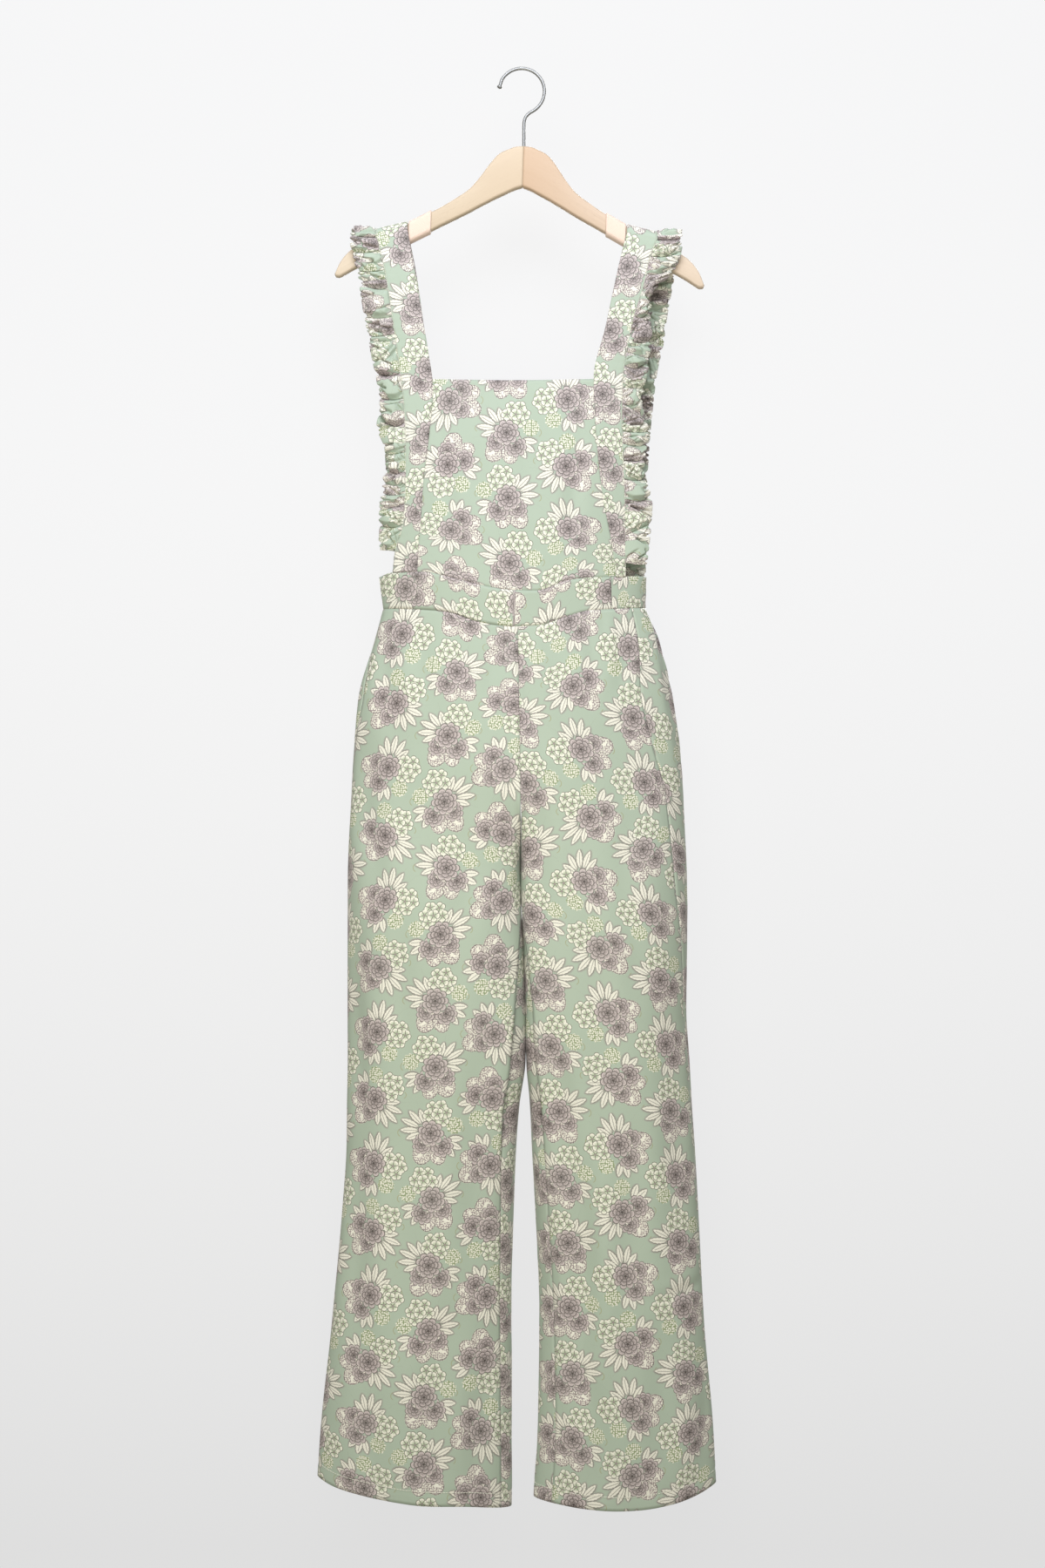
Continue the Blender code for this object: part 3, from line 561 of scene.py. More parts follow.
def printed_twill(name, reverse):
    """Satin-faced printed twill. Its reverse shows the print faintly."""
    made, tree, shader = material(name)
    place, colour = printed(tree)
    cloud = noise(tree, place, 14.0)
    colour = blend(colour, (0.30, 0.36, 0.29), (cloud - 0.42) * 0.22)
    if reverse:
        veil = add_node(tree, "Value").outputs[0]
        veil.default_value = 0.62
        colour = blend(colour, (0.56, 0.62, 0.53), Number(tree, veil))
    twill = add_node(tree, "TexWave", {"Vector": place}, Scale=420.0, Distortion=0.6)
    twill.bands_direction = "DIAGONAL"
    slub = noise(tree, place, (900.0, 2600.0))
    height = Number(tree, twill.outputs["Fac"]) * 0.6 + slub
    join(tree, shader, colour, (cloud - 0.5) * 0.14 + 0.56, height, 0.16, 0.0002,
         Sheen_Weight=0.12, Sheen_Roughness=0.4, Specular_IOR_Level=0.35)
    return made


def beech(name, pale, deep, heart, seed):
    """Beech: pale wood with fine grain along the arm and short dark flecks, deeper in
    colour towards the hook, and made paler towards the tip by painted light."""
    made, tree, shader = material(name)
    place, along, _ = cloth_place(tree)
    far = add_node(tree, "VectorMath", {0: place})
    far.operation = "ADD"
    far.inputs[1].default_value = (seed, seed * 0.7, 0.0)
    place = far.outputs[0]
    grain = noise(tree, place, (9.0, 210.0), Detail=6.0, Roughness=0.6)
    fleck = noise(tree, place, (130.0, 1500.0), Detail=2.0)
    broad = noise(tree, place, (5.0, 40.0))
    dark = tuple(0.55 * c for c in deep)
    colour = pale
    for layer, share in (
            (deep, ((grain - 0.40) * 1.7).at_least(0.0).at_most(1.0) * 0.7),
            (dark, ((fleck - 0.60).at_least(0.0) * 3.0).at_most(0.5)),
            (deep, ((broad - 0.45) * 0.9).at_least(0.0).at_most(0.5)),
            (heart, (along * (-1.0 / 120.0) + 1.0).at_least(0.0) * 0.8),
            # painted light: the pale colour blended in beyond 168 mm makes the tip lighter
            ((0.70, 0.60, 0.49), (along * (1.0 / 40.0) - 4.2).at_least(0.0).at_most(0.35))):
        colour = blend(colour, layer, share)
    join(tree, shader, colour, grain * 0.2 + 0.38, fleck, 0.12, 0.0002)
    return made


def knitted(name):
    """Cream knitted sleeve: fine ribs along the arm crossed by rows of loops, painted shade in
    their hollows.
    """
    made, tree, shader = material(name)
    _, along, around = cloth_place(tree)
    rib = (around * 0.62).zigzag() * 2.0
    loop = (along * 0.8 + rib * 0.35).zigzag() * 2.0
    height = rib * 0.6 + loop * 0.4
    # painted shade: the colour darkens where the knit's height is low, in the hollows
    colour = blend((0.85, 0.665, 0.58), (0.73, 0.555, 0.455), (height * -1.0 + 1.0) * 0.55)
    join(tree, shader, colour, 0.85, height, 0.6, 0.0005, Sheen_Weight=0.2)
    return made


def bright_wire(name):
    """Plated steel wire, drawn lengthwise and lightly rubbed."""
    made, tree, shader = material(name)
    worn = noise(tree, cloth_place(tree)[0], (14.0, 300.0))
    colour = blend((0.36, 0.364, 0.37), (0.31, 0.31, 0.315), worn)
    join(tree, shader, colour, worn * 0.06 + 0.46, Metallic=1.0)
    return made


def thread(name, colour):
    """Sewing thread, with its ply."""
    made, tree, shader = material(name)
    ply = noise(tree, add_node(tree, "TexCoord").outputs["Object"], 2200.0)
    join(tree, shader, blend(colour, tuple(0.7 * c for c in colour), ply), 0.7)
    return made


FACE = printed_twill("printed_twill", False)
REVERSE = printed_twill("printed_twill_reverse", True)
THREAD = thread("thread", (0.78, 0.78, 0.70))


# ---- meshes
def normals_of(grid, forward, probe=0.5):
    """Unit normals of a grid of points. At the probe, a share down its middle column,
    they face the front if forward is true, and otherwise the back."""
    normal = np.cross(np.gradient(grid, axis=1), np.gradient(grid, axis=0))
    normal /= np.maximum(np.linalg.norm(normal, axis=2, keepdims=True), 1e-9)
    tested = normal[int(probe * (len(grid) - 1)), normal.shape[1] // 2]
    return normal if (tested[1] < 0) == forward else -normal


def lengths(grid, axis):
    """Running length along one axis of a grid, from its start."""
    step = np.linalg.norm(np.diff(grid, axis=axis), axis=2)
    start = np.zeros_like(np.take(step, [0], axis=axis))
    return np.concatenate([start, np.cumsum(step, axis=axis)], axis=axis)


def cut_places(grid):
    """Where each point of a grid lay on the cut cloth: across from its middle column and
    down its middle column, in millimetres."""
    across = lengths(grid, 1)
    middle = grid.shape[1] // 2
    across = across - across[:, middle:middle + 1]
    return across, np.broadcast_to(lengths(grid, 0)[:, middle:middle + 1], across.shape)


def quads(index):
    """The faces between the points of a grid, given the points' numbers."""
    corners = (index[:-1, :-1], index[:-1, 1:], index[1:, 1:], index[1:, :-1])
    return np.stack(corners, axis=2).reshape(-1, 4)


def declare(piece, node=None):
    """Hangs a piece on the frame's root, and hides the solid it stands for."""
    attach(piece, "root")
    if node:
        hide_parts(node)


def add_mesh(name, points, faces, looks, smooth, places=None):
    """A mesh object. Places are the cut place of each corner of each face."""
    mesh = bpy.data.meshes.new(name)
    mesh.from_pydata([tuple(p) for p in points * MM], [], faces)
    mesh.update()
    for look in looks:
        mesh.materials.append(look)
    if places is not None:
        layer = mesh.uv_layers.new(name="Cut")
        layer.data.foreach_set("uv", (places * MM).astype(np.float32).ravel())
    mesh.polygons.foreach_set("use_smooth", smooth)
    thing = bpy.data.objects.new(name, mesh)
    bpy.context.scene.collection.objects.link(thing)
    return thing


def corners_of(faces):
    return np.array([k for face in faces for k in face])


def wall(node, grid, relief, thickness, forward, start, cut=None, taper=0.8, probe=0.5,
         outside=0.5):
    """A closed wall of cloth on a grid of points: relief moves it outward, and its edges
    are pressed thin. One layer shows its reverse inside, a double one the print. outside
    is the share of the thickness that lies on the grid's outer side."""
    grid = grid + normals_of(grid, forward, probe) * relief[:, :, None]
    normal = normals_of(grid, forward, probe)
    across, down = cut or cut_places(grid)
    thick = np.full(grid.shape[:2], thickness * taper)
    thick[1:-1, 1:-1] = thickness
    thick = normal * thick[:, :, None]
    count = grid.shape[0] * grid.shape[1]
    points = np.concatenate([(grid + thick * outside).reshape(-1, 3),
                             (grid - thick * (1.0 - outside)).reshape(-1, 3)])
    flat = np.stack([(across + start[0]).ravel(), (down + start[1]).ravel()], axis=1)
    index = np.arange(count).reshape(grid.shape[:2])
    face = quads(index)
    border = np.concatenate([index[0, :], index[1:, -1], index[-1, -2::-1], index[-2:0:-1, 0]])
    after = np.roll(border, -1)
    rim = np.stack([border, after, after + count, border + count], axis=1)
    first = points[face[0]]
    if np.dot(np.cross(first[1] - first[0], first[2] - first[0]), normal[0, 0]) < 0:
        face = face[:, ::-1]
    else:
        rim = rim[:, ::-1]
    back = face[:, ::-1] + count
    faces = np.concatenate([face, back, rim]).tolist()
    smooth = [True] * (2 * len(face)) + [False] * len(rim)
    places = np.concatenate([flat, flat])[corners_of(faces)]
    piece = add_mesh(node + "_cloth", points, faces, (FACE, REVERSE), smooth, places)
    inside = 1 if thickness == TWILL else 0
    slots = [0] * len(face) + [inside] * len(back) + [0] * len(rim)
    piece.data.polygons.foreach_set("material_index", slots)
    declare(piece, node)
    return piece


def fold_relief(across, down, folds):
    """Soft troughs and ridges of a table of folds, with the cloth beside them lifted."""
    total = np.zeros(across.shape)
    for at_across, at_down, length, lean, width, depth in folds:
        a = math.radians(lean)
        x = across - at_across
        y = down - at_down
        along = (x * math.sin(a) + y * math.cos(a)) / (length / 2)
        off = (x * math.cos(a) - y * math.sin(a)) / width + 0.6 * along * along
        fading = np.clip(1.0 - along * along, 0.0, None) ** 1.5
        trough = np.exp(-off * off) - 0.45 * np.exp(-((np.abs(off) - 1.9) ** 2))
        total -= depth * trough * fading
    return total


def waver(across, down, size, seed):
    """A gentle unevenness of cloth, from a few slow waves."""
    rng = np.random.default_rng(seed)
    total = np.zeros(across.shape)
    for _ in range(6):
        pitch = size * rng.uniform(0.7, 1.7)
        a = rng.uniform(0, TURN)
        total += np.sin((across * math.cos(a) + down * math.sin(a)) * TURN / pitch
                        + rng.uniform(0, TURN))
    return total / 6


def edge_calm(grid, sides, ends):
    """1 over a grid, eased to 0 at its sides and ends over shares of its size."""
    share = shares(grid.shape[1])
    drop = shares(grid.shape[0]).T
    return (fade(0.0, sides, share) * fade(1.0, 1.0 - sides, share)
            * fade(0.0, ends, drop) * fade(1.0, 1.0 - ends, drop))


def grid_of(x, y, z):
    return np.stack(np.broadcast_arrays(x, y, z), axis=-1).astype(float)


# ---- trousers
def evenly(grid, columns):
    """The rows of a grid, each with its points spread evenly along it."""
    rows = []
    for points, along in zip(grid, lengths(grid, 1)):
        at = np.linspace(0, along[-1], columns)
        rows.append(np.stack([np.interp(at, along, points[:, k]) for k in range(3)], axis=1))
    return np.array(rows)


def trouser_grid(leg, hem, front, columns, rows):
    """Points on the middle of a trouser panel, from waist to hem and from the centre
    seam or inseam to the side seam."""
    z = np.linspace(TROUSER_TOP, TROUSER_LOW, rows)[:, None]
    share = shares(8 * columns)
    sign = 1.0 if leg is RIGHT_LEG else -1.0
    outer, inner, inseam, side = reads(leg, "outer inner inseam side", z)
    point, inside, deep_front, deep_back = reads(DEPTH, "point inside front back", z)
    middle = read(MIDDLE, "x", z)
    centre = 90.0 if front else 270.0
    hip = mix(centre, 180.0 - side, share)
    low = mix(inseam if front else 360.0 + inseam, 180.0 - side, share)
    # the two legs lean on each other below the crotch
    inner = inner - sign * fade(-870.0, -920.0, z) * fade(-1135.0, -1115.0, z)

    def depth(angle):
        lean = np.sin(np.radians(angle))
        strong = np.abs(lean) ** np.where(np.cos(np.radians(angle)) > 0, inside, point)
        return np.where(lean > 0, -deep_front * strong, deep_back * strong)

    hip_x = middle + (middle - outer) * np.cos(np.radians(hip))
    low_x = (inner + outer) / 2 + (inner - outer) / 2 * np.cos(np.radians(low))
    w = fade(HIP_ENDS, LEG_WHOLE, z)
    x = mix(hip_x, low_x, w)
    y = mix(depth(hip), depth(low), w)
    # the centre seam curves in to the crotch, which folds the cloth beside it
    keep = fade(CROTCH, RISE_BEND, z)
    hip_edge = depth(centre)
    low_edge = depth(inseam)
    folded_wide = mix(0.05, 0.13, fade(-890.0, -960.0, z))
    near = falling(share, folded_wide) ** 2
    pull = mix(low_edge, hip_edge, keep) - mix(hip_edge, low_edge, w)
    y = y + np.where(z > LEG_WHOLE, pull * near, 0.0)
    if not front:
        # fullness gathered into the elastic at the back waist, gone by mid thigh
        fold = np.sin(TURN * (4 * share + 0.12 * np.sin(9 * share)))
        calm = fade(0.0, 0.10, share) * fade(1.0, 0.74, share)
        y = y + 5.0 * fade(-1080.0, WAIST_LOW, z) * fold * calm
        # below the crotch it lies back from the inseam, in the shade of the front
        behind = fade(-965.0, -1005.0, z) * fade(-1260.0, -1190.0, z)
        y = y + 9.0 * behind * falling(share, 0.15) ** 0.5
    # where the seam curves in, each leg keeps to its own side of the middle
    least = sign * middle + TWILL / 2 - 0.05
    folded = (z > CROTCH) & (keep < 0.99)
    x = np.where(folded, sign * np.maximum(sign * x, least), x)
    top = np.where(y < 0, read(BAND, "low", x), WAIST_LOW)
    up = (top + 0.7 - TROUSER_TOP) * fade(-770.0, TROUSER_TOP, z)
    down = (read(hem, "z", x) - TROUSER_LOW) * fade(-1433.0, TROUSER_LOW, z)
    return evenly(grid_of(x, y, z + up + down), columns)


def trouser(name, leg, hem, front, folds, start, seed):
    """A trouser panel, and the points on the middle of its cloth."""
    columns = 57 if front else 69
    grid = trouser_grid(leg, hem, front, columns, 250)
    across, down = cut_places(grid)
    relief = fold_relief(across, down, folds) + 0.8 * waver(across, down, 170.0, seed)
    relief += 0.25 * waver(across, down, 38.0, seed + 1)
    if front:
        # short gathers where the panel is eased into the waistband
        ease = np.exp(-down / 26.0) * (0.5 + 0.5 * waver(across, down * 0, 90.0, seed + 2))
        relief += ease * np.sin(across * TURN / 19.0 + 1.5 * np.sin(across / 31.0))
    else:
        # small gathers under the elastic
        share = shares(columns)
        fine = np.sin(TURN * (13 * share + 0.35 * np.sin(7 * share + seed)))
        relief += 2.2 * np.exp(-down / 55.0) * fine * fade(1.0, 0.85, share)
    # the cloth dips beside the stitching of the hem
    dip = np.exp(-((down[-1:, :] - down - HEM_STITCHES) / 1.8) ** 2)
    relief = relief * edge_calm(grid, 0.07, 0.02) - 0.45 * dip
    piece = wall(name, grid, relief, TWILL, front, start)
    return piece, grid + normals_of(grid, front) * relief[:, :, None]


# ---- waistband, bib, straps
def front_skin(x, z):
    flat, bow, middle, half = reads(BODICE, "flat bow middle half", z)
    u = (x - middle) / half
    return -(flat + bow * np.sqrt(np.maximum(0.04, 1.0 - u * u)))


def back_skin(x, z):
    return -front_skin(x, z) * 0.92 + 0.76 * fade(WAIST_TOP, SPRING, z)


def spring(x):
    """Height where the strap starts to turn over the arm, at a distance from the middle."""
    left = mix(-175.0, -183.5, np.clip((-x - 134.0) / 34.0, 0.0, 1.0))
    right = mix(-177.8, -187.0, np.clip((x - 122.0) / 35.0, 0.0, 1.0))
    return np.where(x < 0, left, right) - TURN_RISE


def arm_rise(x, z):
    """How far a row near the arm is moved up to follow it."""
    return (spring(x) - SPRING) * fade(ARM_NEAR, SPRING, z)


def front_height(x, z):
    """A front row's height at x: it follows the waistband below and the arm above."""
    low = (read(BAND, "top", x) + 0.5 - WAIST_TOP) * fade(BAND_NEAR, WAIST_TOP, z)
    return z + low + arm_rise(x, z)


def band_grid(low_ends, top_ends, columns):
    """A waistband between angles round its low and its top edge: rows from the top."""
    step = shares(columns)
    share = 1.0 - shares(BAND_ROWS).T
    low = mix(*low_ends, step)
    top = mix(*top_ends, step)
    angle = np.radians(mix(low, top, share))
    middle, half = (mix(a, b, share) for a, b in zip(BAND_LOW_RING, BAND_TOP_RING))
    y = np.where(np.sin(angle) > 0, -44.0, -40.0) * np.sin(angle)
    edge_low = BAND_LOW_RING[0] + BAND_LOW_RING[1] * np.cos(np.radians(low))
    edge_top = BAND_TOP_RING[0] + BAND_TOP_RING[1] * np.cos(np.radians(top))
    front = mix(read(BAND, "low", edge_low), read(BAND, "top", edge_top), share)
    back = mix(WAIST_LOW, WAIST_TOP + 0.8, share)
    return grid_of(middle + half * np.cos(angle), y, np.where(np.sin(angle) > 0, front, back))


def waist_angle(x, ring):
    return math.degrees(math.acos((x - ring[0]) / ring[1]))


def front_band():
    low = [waist_angle(x, BAND_LOW_RING) for x in (BAND_START[1], BAND_STOP[1])]
    top = [waist_angle(x, BAND_TOP_RING) for x in (BAND_START[0], BAND_STOP[0])]
    columns = 97
    grid = band_grid(low, top, columns)
    across, down = cut_places(grid)
    relief = LAP + 0.5 * waver(across, down, 60.0, 5) * edge_calm(grid, 0.03, 0.2)
    # the two halves of the band meet in a seam at the middle
    seam = np.argmin(np.abs(grid[BAND_ROWS // 2, :, 0] - BAND_SEAM))
    relief -= 0.35 * np.exp(-((across - across[:, seam:seam + 1]) / 1.4) ** 2)
    shifted = across + np.where(np.arange(columns)[None, :] >= seam, 31.0, 0.0)
    return wall("waistband_front", grid, relief, DOUBLE, True, (12.0, 20.0),
                cut=(shifted, down))


def back_band():
    low = (180.0, 360.0 + waist_angle(BAND_STOP[1], BAND_LOW_RING))
    top = (180.0, 360.0 + waist_angle(BAND_STOP[0], BAND_TOP_RING))
    columns = 321
    grid = band_grid(low, top, columns)
    # gathers of uneven width and depth, flat at both ends and along two channels
    share = shares(columns)
    calm = fade(0.0, 0.06, share) * fade(0.84, 0.78, share)
    uneven = 30 * share + 0.30 * np.sin(23 * share) + 0.22 * np.sin(57 * share + 1.0)
    deep = 0.75 + 0.25 * np.sin(41 * share + 2.0)
    channel = 0.72 + 0.28 * np.cos(TURN * 2 * (shares(BAND_ROWS).T - 0.5))
    relief = 1.9 * calm * deep * channel * np.sin(TURN * uneven)
    across, down = cut_places(grid)
    return wall("waistband_back", grid, relief, DOUBLE, False, (140.0, 60.0),
                cut=(across * 1.35, down))


def bib():
    z = np.linspace(NECK_TOP, WAIST_TOP, 76)[:, None]
    share = shares(65)
    # its sides and low edge go a little way under the straps and the waistband
    x = mix(read(LEFT_FRONT, "inner", z) - UNDER, read(RIGHT_FRONT, "inner", z) + UNDER, share)
    up = (z - WAIST_TOP) / (NECK_TOP - WAIST_TOP)
    dip = -2.0 * np.sin(math.pi * share) * fade(0.8, 1.0, up)
    tuck_in = UNDER * fade(WAIST_TOP + 6.0, WAIST_TOP, z)
    grid = grid_of(x, front_skin(x, z), front_height(x, z) + dip - tuck_in)
    across, down = cut_places(grid)
    relief = fold_relief(across, down, BIB_FOLDS) + 0.6 * waver(across, down, 110.0, 11)
    relief = relief * edge_calm(grid, 0.08, 0.06)
    return wall("bib", grid, relief, DOUBLE, True, (6.0, 14.0))


def strap_rows(low_front, low_back, step):
    """Rows along a strap's edge, from the front waist over the arm to the back waist: the
    stage (0 front, 1 over the arm, 2 back) and the height there, or the turn's angle."""
    rows = [(0, z) for z in np.linspace(low_front, SPRING, round((SPRING - low_front) / step))]
    rows += [(1, a) for a in np.linspace(0, 180, round(TURN_LENGTH / step) + 2)[1:-1]]
    rows += [(2, z) for z in np.linspace(SPRING, low_back, round((SPRING - low_back) / step))]
    return rows


def strap_points(front, back, stage, at, share):
    """Points of a strap at one row, at shares of the way from its inner to its outer edge."""
    table = back if stage == 2 else front
    x = mix(*reads(table, "inner outer", SPRING if stage == 1 else at), share)
    if stage == 0:
        return grid_of(x, front_skin(x, at), front_height(x, at))
    if stage == 1:
        a = math.radians(at)
        return grid_of(x, -TURN_DEPTH * math.cos(a), spring(x) + TURN_RISE * math.sin(a))
    return grid_of(x, back_skin(x, at), at + arm_rise(x, at))


def strap(name, front, back, start, seed):
    """A strap, and the points on the middle of its cloth."""
    share = np.linspace(0, 1, 13)
    rows = strap_rows(WAIST_TOP - UNDER, WAIST_TOP + 1.0, 3.0)
    grid = np.array([strap_points(front, back, *row, share) for row in rows])
    across, along = cut_places(grid)
    relief = 0.45 * waver(across, along, 70.0, seed) * edge_calm(grid, 0.2, 0.01)
    # the strap is puckered a little where its ruffle is sewn in
    pucker = np.sin(along * TURN / 9.0 + 2 * np.sin(along / 17.0))
    relief += 0.35 * pucker * share[None, :] ** 3
    relief += LAP * fade(NECK_TOP + 13.0, NECK_TOP - 7.0, grid[:, :1, 2]) * (along < 400.0)
    piece = wall(name, grid, relief, DOUBLE, True, start, cut=(across, -along), probe=0.2)
    return piece, grid + normals_of(grid, True, 0.2) * relief[:, :, None]


# ---- ruffles
def creased(across, path, starts, reach, rng):
    """How deep the small wrinkles beside each gather lie: straight valleys with flat
    sides, most of them from the seam, some from the outer edge or across the middle."""
    deep = np.zeros(across.shape)
    for start in starts:
        middle = rng.uniform(0.2, 0.7) * reach
        for place in (0.0,) * 4 + (reach,) * 2 + (middle,) * 2:
            long = rng.uniform(10.0, 27.0) if place < reach else rng.uniform(7.0, 16.0)
            lean = math.radians(rng.uniform(-62.0, 62.0))
            way = -math.cos(lean) if place == reach else math.cos(lean)
            at = start + rng.uniform(-12.0, 12.0)
            run = (across - place) * way + (path - at) * math.sin(lean)
            run = np.clip(run, 0.0, long)
            off = np.hypot(across - place - run * way, path - at - run * math.sin(lean))
            depth = rng.uniform(4.0, 9.5) * (1.0 - 0.85 * (run / long) ** 2)
            deep = np.maximum(deep, depth * (1.0 - off / rng.uniform(1.2, 3.0)))
    return deep


def ruffle(name, front, back, frill, creases, low_back, sign, start, seed):
    """A gathered double ruffle: cloth tucked at creases, with small wrinkles between."""
    rng = np.random.default_rng(seed)
    out = np.linspace(0, 1, 37)
    rows = strap_rows(creases[0][0], low_back, 0.75)
    base = np.array([strap_points(front, back, *row, 1.0) for row in rows])
    path = lengths(base[:, None, :], 0)[:, 0]
    stage, at = np.array(rows, float).T
    on_front = stage == 0
    on_arm = stage == 1

    def run_at(of_stage, place):
        picked = stage == of_stage
        order = np.argsort(at[picked])
        return float(np.interp(place, at[picked][order], path[picked][order]))

    lines = [(run_at(0, z), -drop, -sag, puff) for z, drop, sag, puff in creases]
    lines += [(run_at(1, a), 0.0, 0.0, puff) for a, puff in ((38, 5), (95, 4), (150, 5))]
    lines += [(run_at(2, z), drop, sag, puff) for z, drop, sag, puff in BACK_CREASES]
    line_run, drops, sags, puffs = np.array(sorted(lines)).T
    deepest = rng.uniform(0.2, 0.85, len(lines))
    width = rng.uniform(0.55, 1.1, len(lines))
    across, down = np.broadcast_arrays(FRILL_REACH * out[None, :], path[:, None])
    small = creased(across, down, line_run, FRILL_REACH, rng)
    # which way each row reaches, which way it faces, and which way its cloth hangs
    front_reach, front_turn = reads(frill, "reach turn", at)
    wide = np.where(on_arm, FRILL_REACH, read(BACK_FRILL, "reach", at))
    wide = np.where(on_front, front_reach, wide)
    turn = np.where(on_front, np.radians(front_turn), 0.0)
    tilt = np.where(on_arm, np.radians(at), np.where(on_front, 0.0, math.pi))
    outward = grid_of(sign * np.cos(turn), np.sin(turn), 0.0)
    facing = grid_of(sign * np.sin(turn), -np.cos(turn) * np.cos(tilt), np.sin(tilt))
    drape = grid_of(0.0, 0.0, -np.abs(np.cos(tilt)))
    grid = np.zeros((len(rows), len(out), 3))
    jump = np.zeros(across.shape)
    for j, a in enumerate(out):
        marks = line_run + drops * a + sags * 4 * a * (1 - a)
        marks = np.maximum.accumulate(marks + np.arange(len(marks)) * 1e-3)
        i = np.clip(np.searchsorted(marks, path, side="right") - 1, 0, len(marks) - 2)
        jump[:, j] = i
        # the cloth above hangs over each crease, steeply; the cloth below comes out of it
        to_low = path - marks[i]
        to_high = marks[i + 1] - path
        strong = np.clip(1.15 - ((a - deepest) / width) ** 2, 0.10, 1.0)
        low, high = strong[i], strong[i + 1]
        above, below = np.where(on_front, (to_high, to_low), (to_low, to_high))
        strong_above, strong_below = np.where(on_front, (high, low), (low, high))
        tall = 0.95 * puffs[i] * np.clip((to_low + to_high) / 11.0, 0.35, 1.0) + 1.5
        come = strong_above * np.maximum(falling(above, SLOPE_ABOVE),
                                         np.clip(2.4 - above / 1.3, 0.0, 2.4))
        hang = strong_below * np.clip(1.0 - (below / SLOPE_BELOW) ** 1.5, 0.0, 1.0)
        sunk = np.maximum(come, hang) * tall
        rise = 0.15 + 0.85 * math.sin(math.pi * min(1.0, 0.05 + a * 0.77))
        lift = rise * (tall - np.maximum(sunk, small[:, j] - 0.3)) + 0.6
        lift = np.maximum(lift, np.where(on_arm, -1.2, -3.2))
        lift = np.where(on_arm, lift, np.minimum(lift, 1.0 + 60.0 * a))
        lift -= 1.3 * max(0.0, 1.0 - a / 0.06)
        # the outer edge draws in at each crease
        pinch = np.exp(-(np.minimum(above, below) / 2.4) ** 2)
        pinch = pinch * (path > 2.0) * (path < path[-1] - 2.0)
        held = np.where(above < below, strong_above, strong_below)
        reach = wide + 0.9 - 2.6 * pinch * held - 0.5 * small[:, j]
        beyond = a * (reach + UNDER) - UNDER
        hanging = 2.0 * strong_below * falling(below, SLOPE_ABOVE) ** 1.5 * rise
        grid[:, j] = (base + outward * beyond[:, None] + facing * lift[:, None]
                      + drape * hanging[:, None])
    run = lengths(grid, 0)[:, 20:21] + TUCKED * jump[:, 20:21]
    cut = (np.broadcast_to(run, across.shape), lengths(grid, 1))
    return wall(name, grid, np.zeros(across.shape), FRILL, True, start, cut=cut, taper=0.55,
                probe=0.2, outside=0.1)


# ---- hanger
def loft(node, rings, look, caps=True):
    """A closed body through rings of equal size, with its place along and around."""
    rings = np.array(rings, float)
    closed = np.concatenate([rings, rings[:, :1]], axis=1)
    places = np.stack([lengths(closed, 0).ravel(), lengths(closed, 1).ravel()], axis=1)
    numbers = np.arange(closed.shape[0] * closed.shape[1]).reshape(closed.shape[:2])
    sides = quads(numbers).tolist()
    ends = [numbers[0, -2::-1].tolist(), numbers[-1, :-1].tolist()] if caps else []
    corners = corners_of(sides + ends)
    # points that share a place are one point
    points, index = np.unique(closed.reshape(-1, 3).round(5), axis=0, return_inverse=True)
    index = index.ravel().tolist()
    faces = [[index[k] for k in face] for face in sides + ends]
    smooth = [True] * len(sides) + [False] * len(ends)
    thing = add_mesh(node + "_made", points, faces, (look,), smooth, places[corners])
    body = bmesh.new()
    body.from_mesh(thing.data)
    bmesh.ops.recalc_face_normals(body, faces=body.faces)
    body.to_mesh(thing.data)
    body.free()
    declare(thing, node)


def hanger_point(along, down, y, sign):
    tilt = math.radians(HANGER_TILT)
    x = sign * along
    return (HANGER_X + x * math.cos(tilt) - down * math.sin(tilt), y,
            HANGER_Z - x * math.sin(tilt) - down * math.cos(tilt))


def arm_ring(along, sign, grow, at, shrink=1.0):
    """A section of the arm with rounded corners, grown all round by an amount. It has the
    height of the arm at one place, and may stand at another."""
    top, low = (float(edge) for edge in reads(ARM, "top low", at))
    half_down = (low - top) / 2 * shrink + grow
    half_deep = WOOD / 2 * mix(0.55, 1.0, shrink) + grow
    middle = (top + low) / 2
    corner = max(0.1, min(3.5 + grow, half_down - 0.2, half_deep - 0.2))
    ring = []
    for side_y, side_down, start in ((1, 1, 0), (-1, 1, 90), (-1, -1, 180), (1, -1, 270)):
        for a in np.radians(start + 15 * np.arange(7)):
            y = side_y * (half_deep - corner) + corner * math.cos(a)
            down = middle + side_down * (half_down - corner) + corner * math.sin(a)
            ring.append(hanger_point(along, down, y, sign))
    return ring


def hanger_half(name, sign, wood):
    along = np.concatenate([np.linspace(0.03, 200.0, 90), np.linspace(201.5, 210.5, 8)])
    rings = [arm_ring(a, sign, 0.0, a) for a in along]
    # the rounded tip
    rings += [arm_ring(a, sign, 0.0, TIP, shrink)
              for a, shrink in ((211.2, 0.75), (211.7, 0.45), (212.0, 0.12))]
    loft(name, rings, wood)


def grip(name, sign, start, stop, knit):
    """Knitted sleeve on the arm, rolled over at both ends, with its inside on the wood."""
    roll = [(0.6, 0.5), (0.0, 1.3), (0.3, 2.1), (1.2, 2.45), (2.6, 2.15)]
    stations = [(start + a, grow) for a, grow in roll]
    stations += [(a, 2.1) for a in np.linspace(start + 4, stop - 4, 14)]
    stations += [(stop - a, grow) for a, grow in reversed(roll)]
    stations += [(a, 0.5) for a in np.linspace(stop - 4, start + 4, 14)]
    rings = [arm_ring(a, sign, grow, a) for a, grow in stations + stations[:1]]
    loft(name, rings, knit, caps=False)


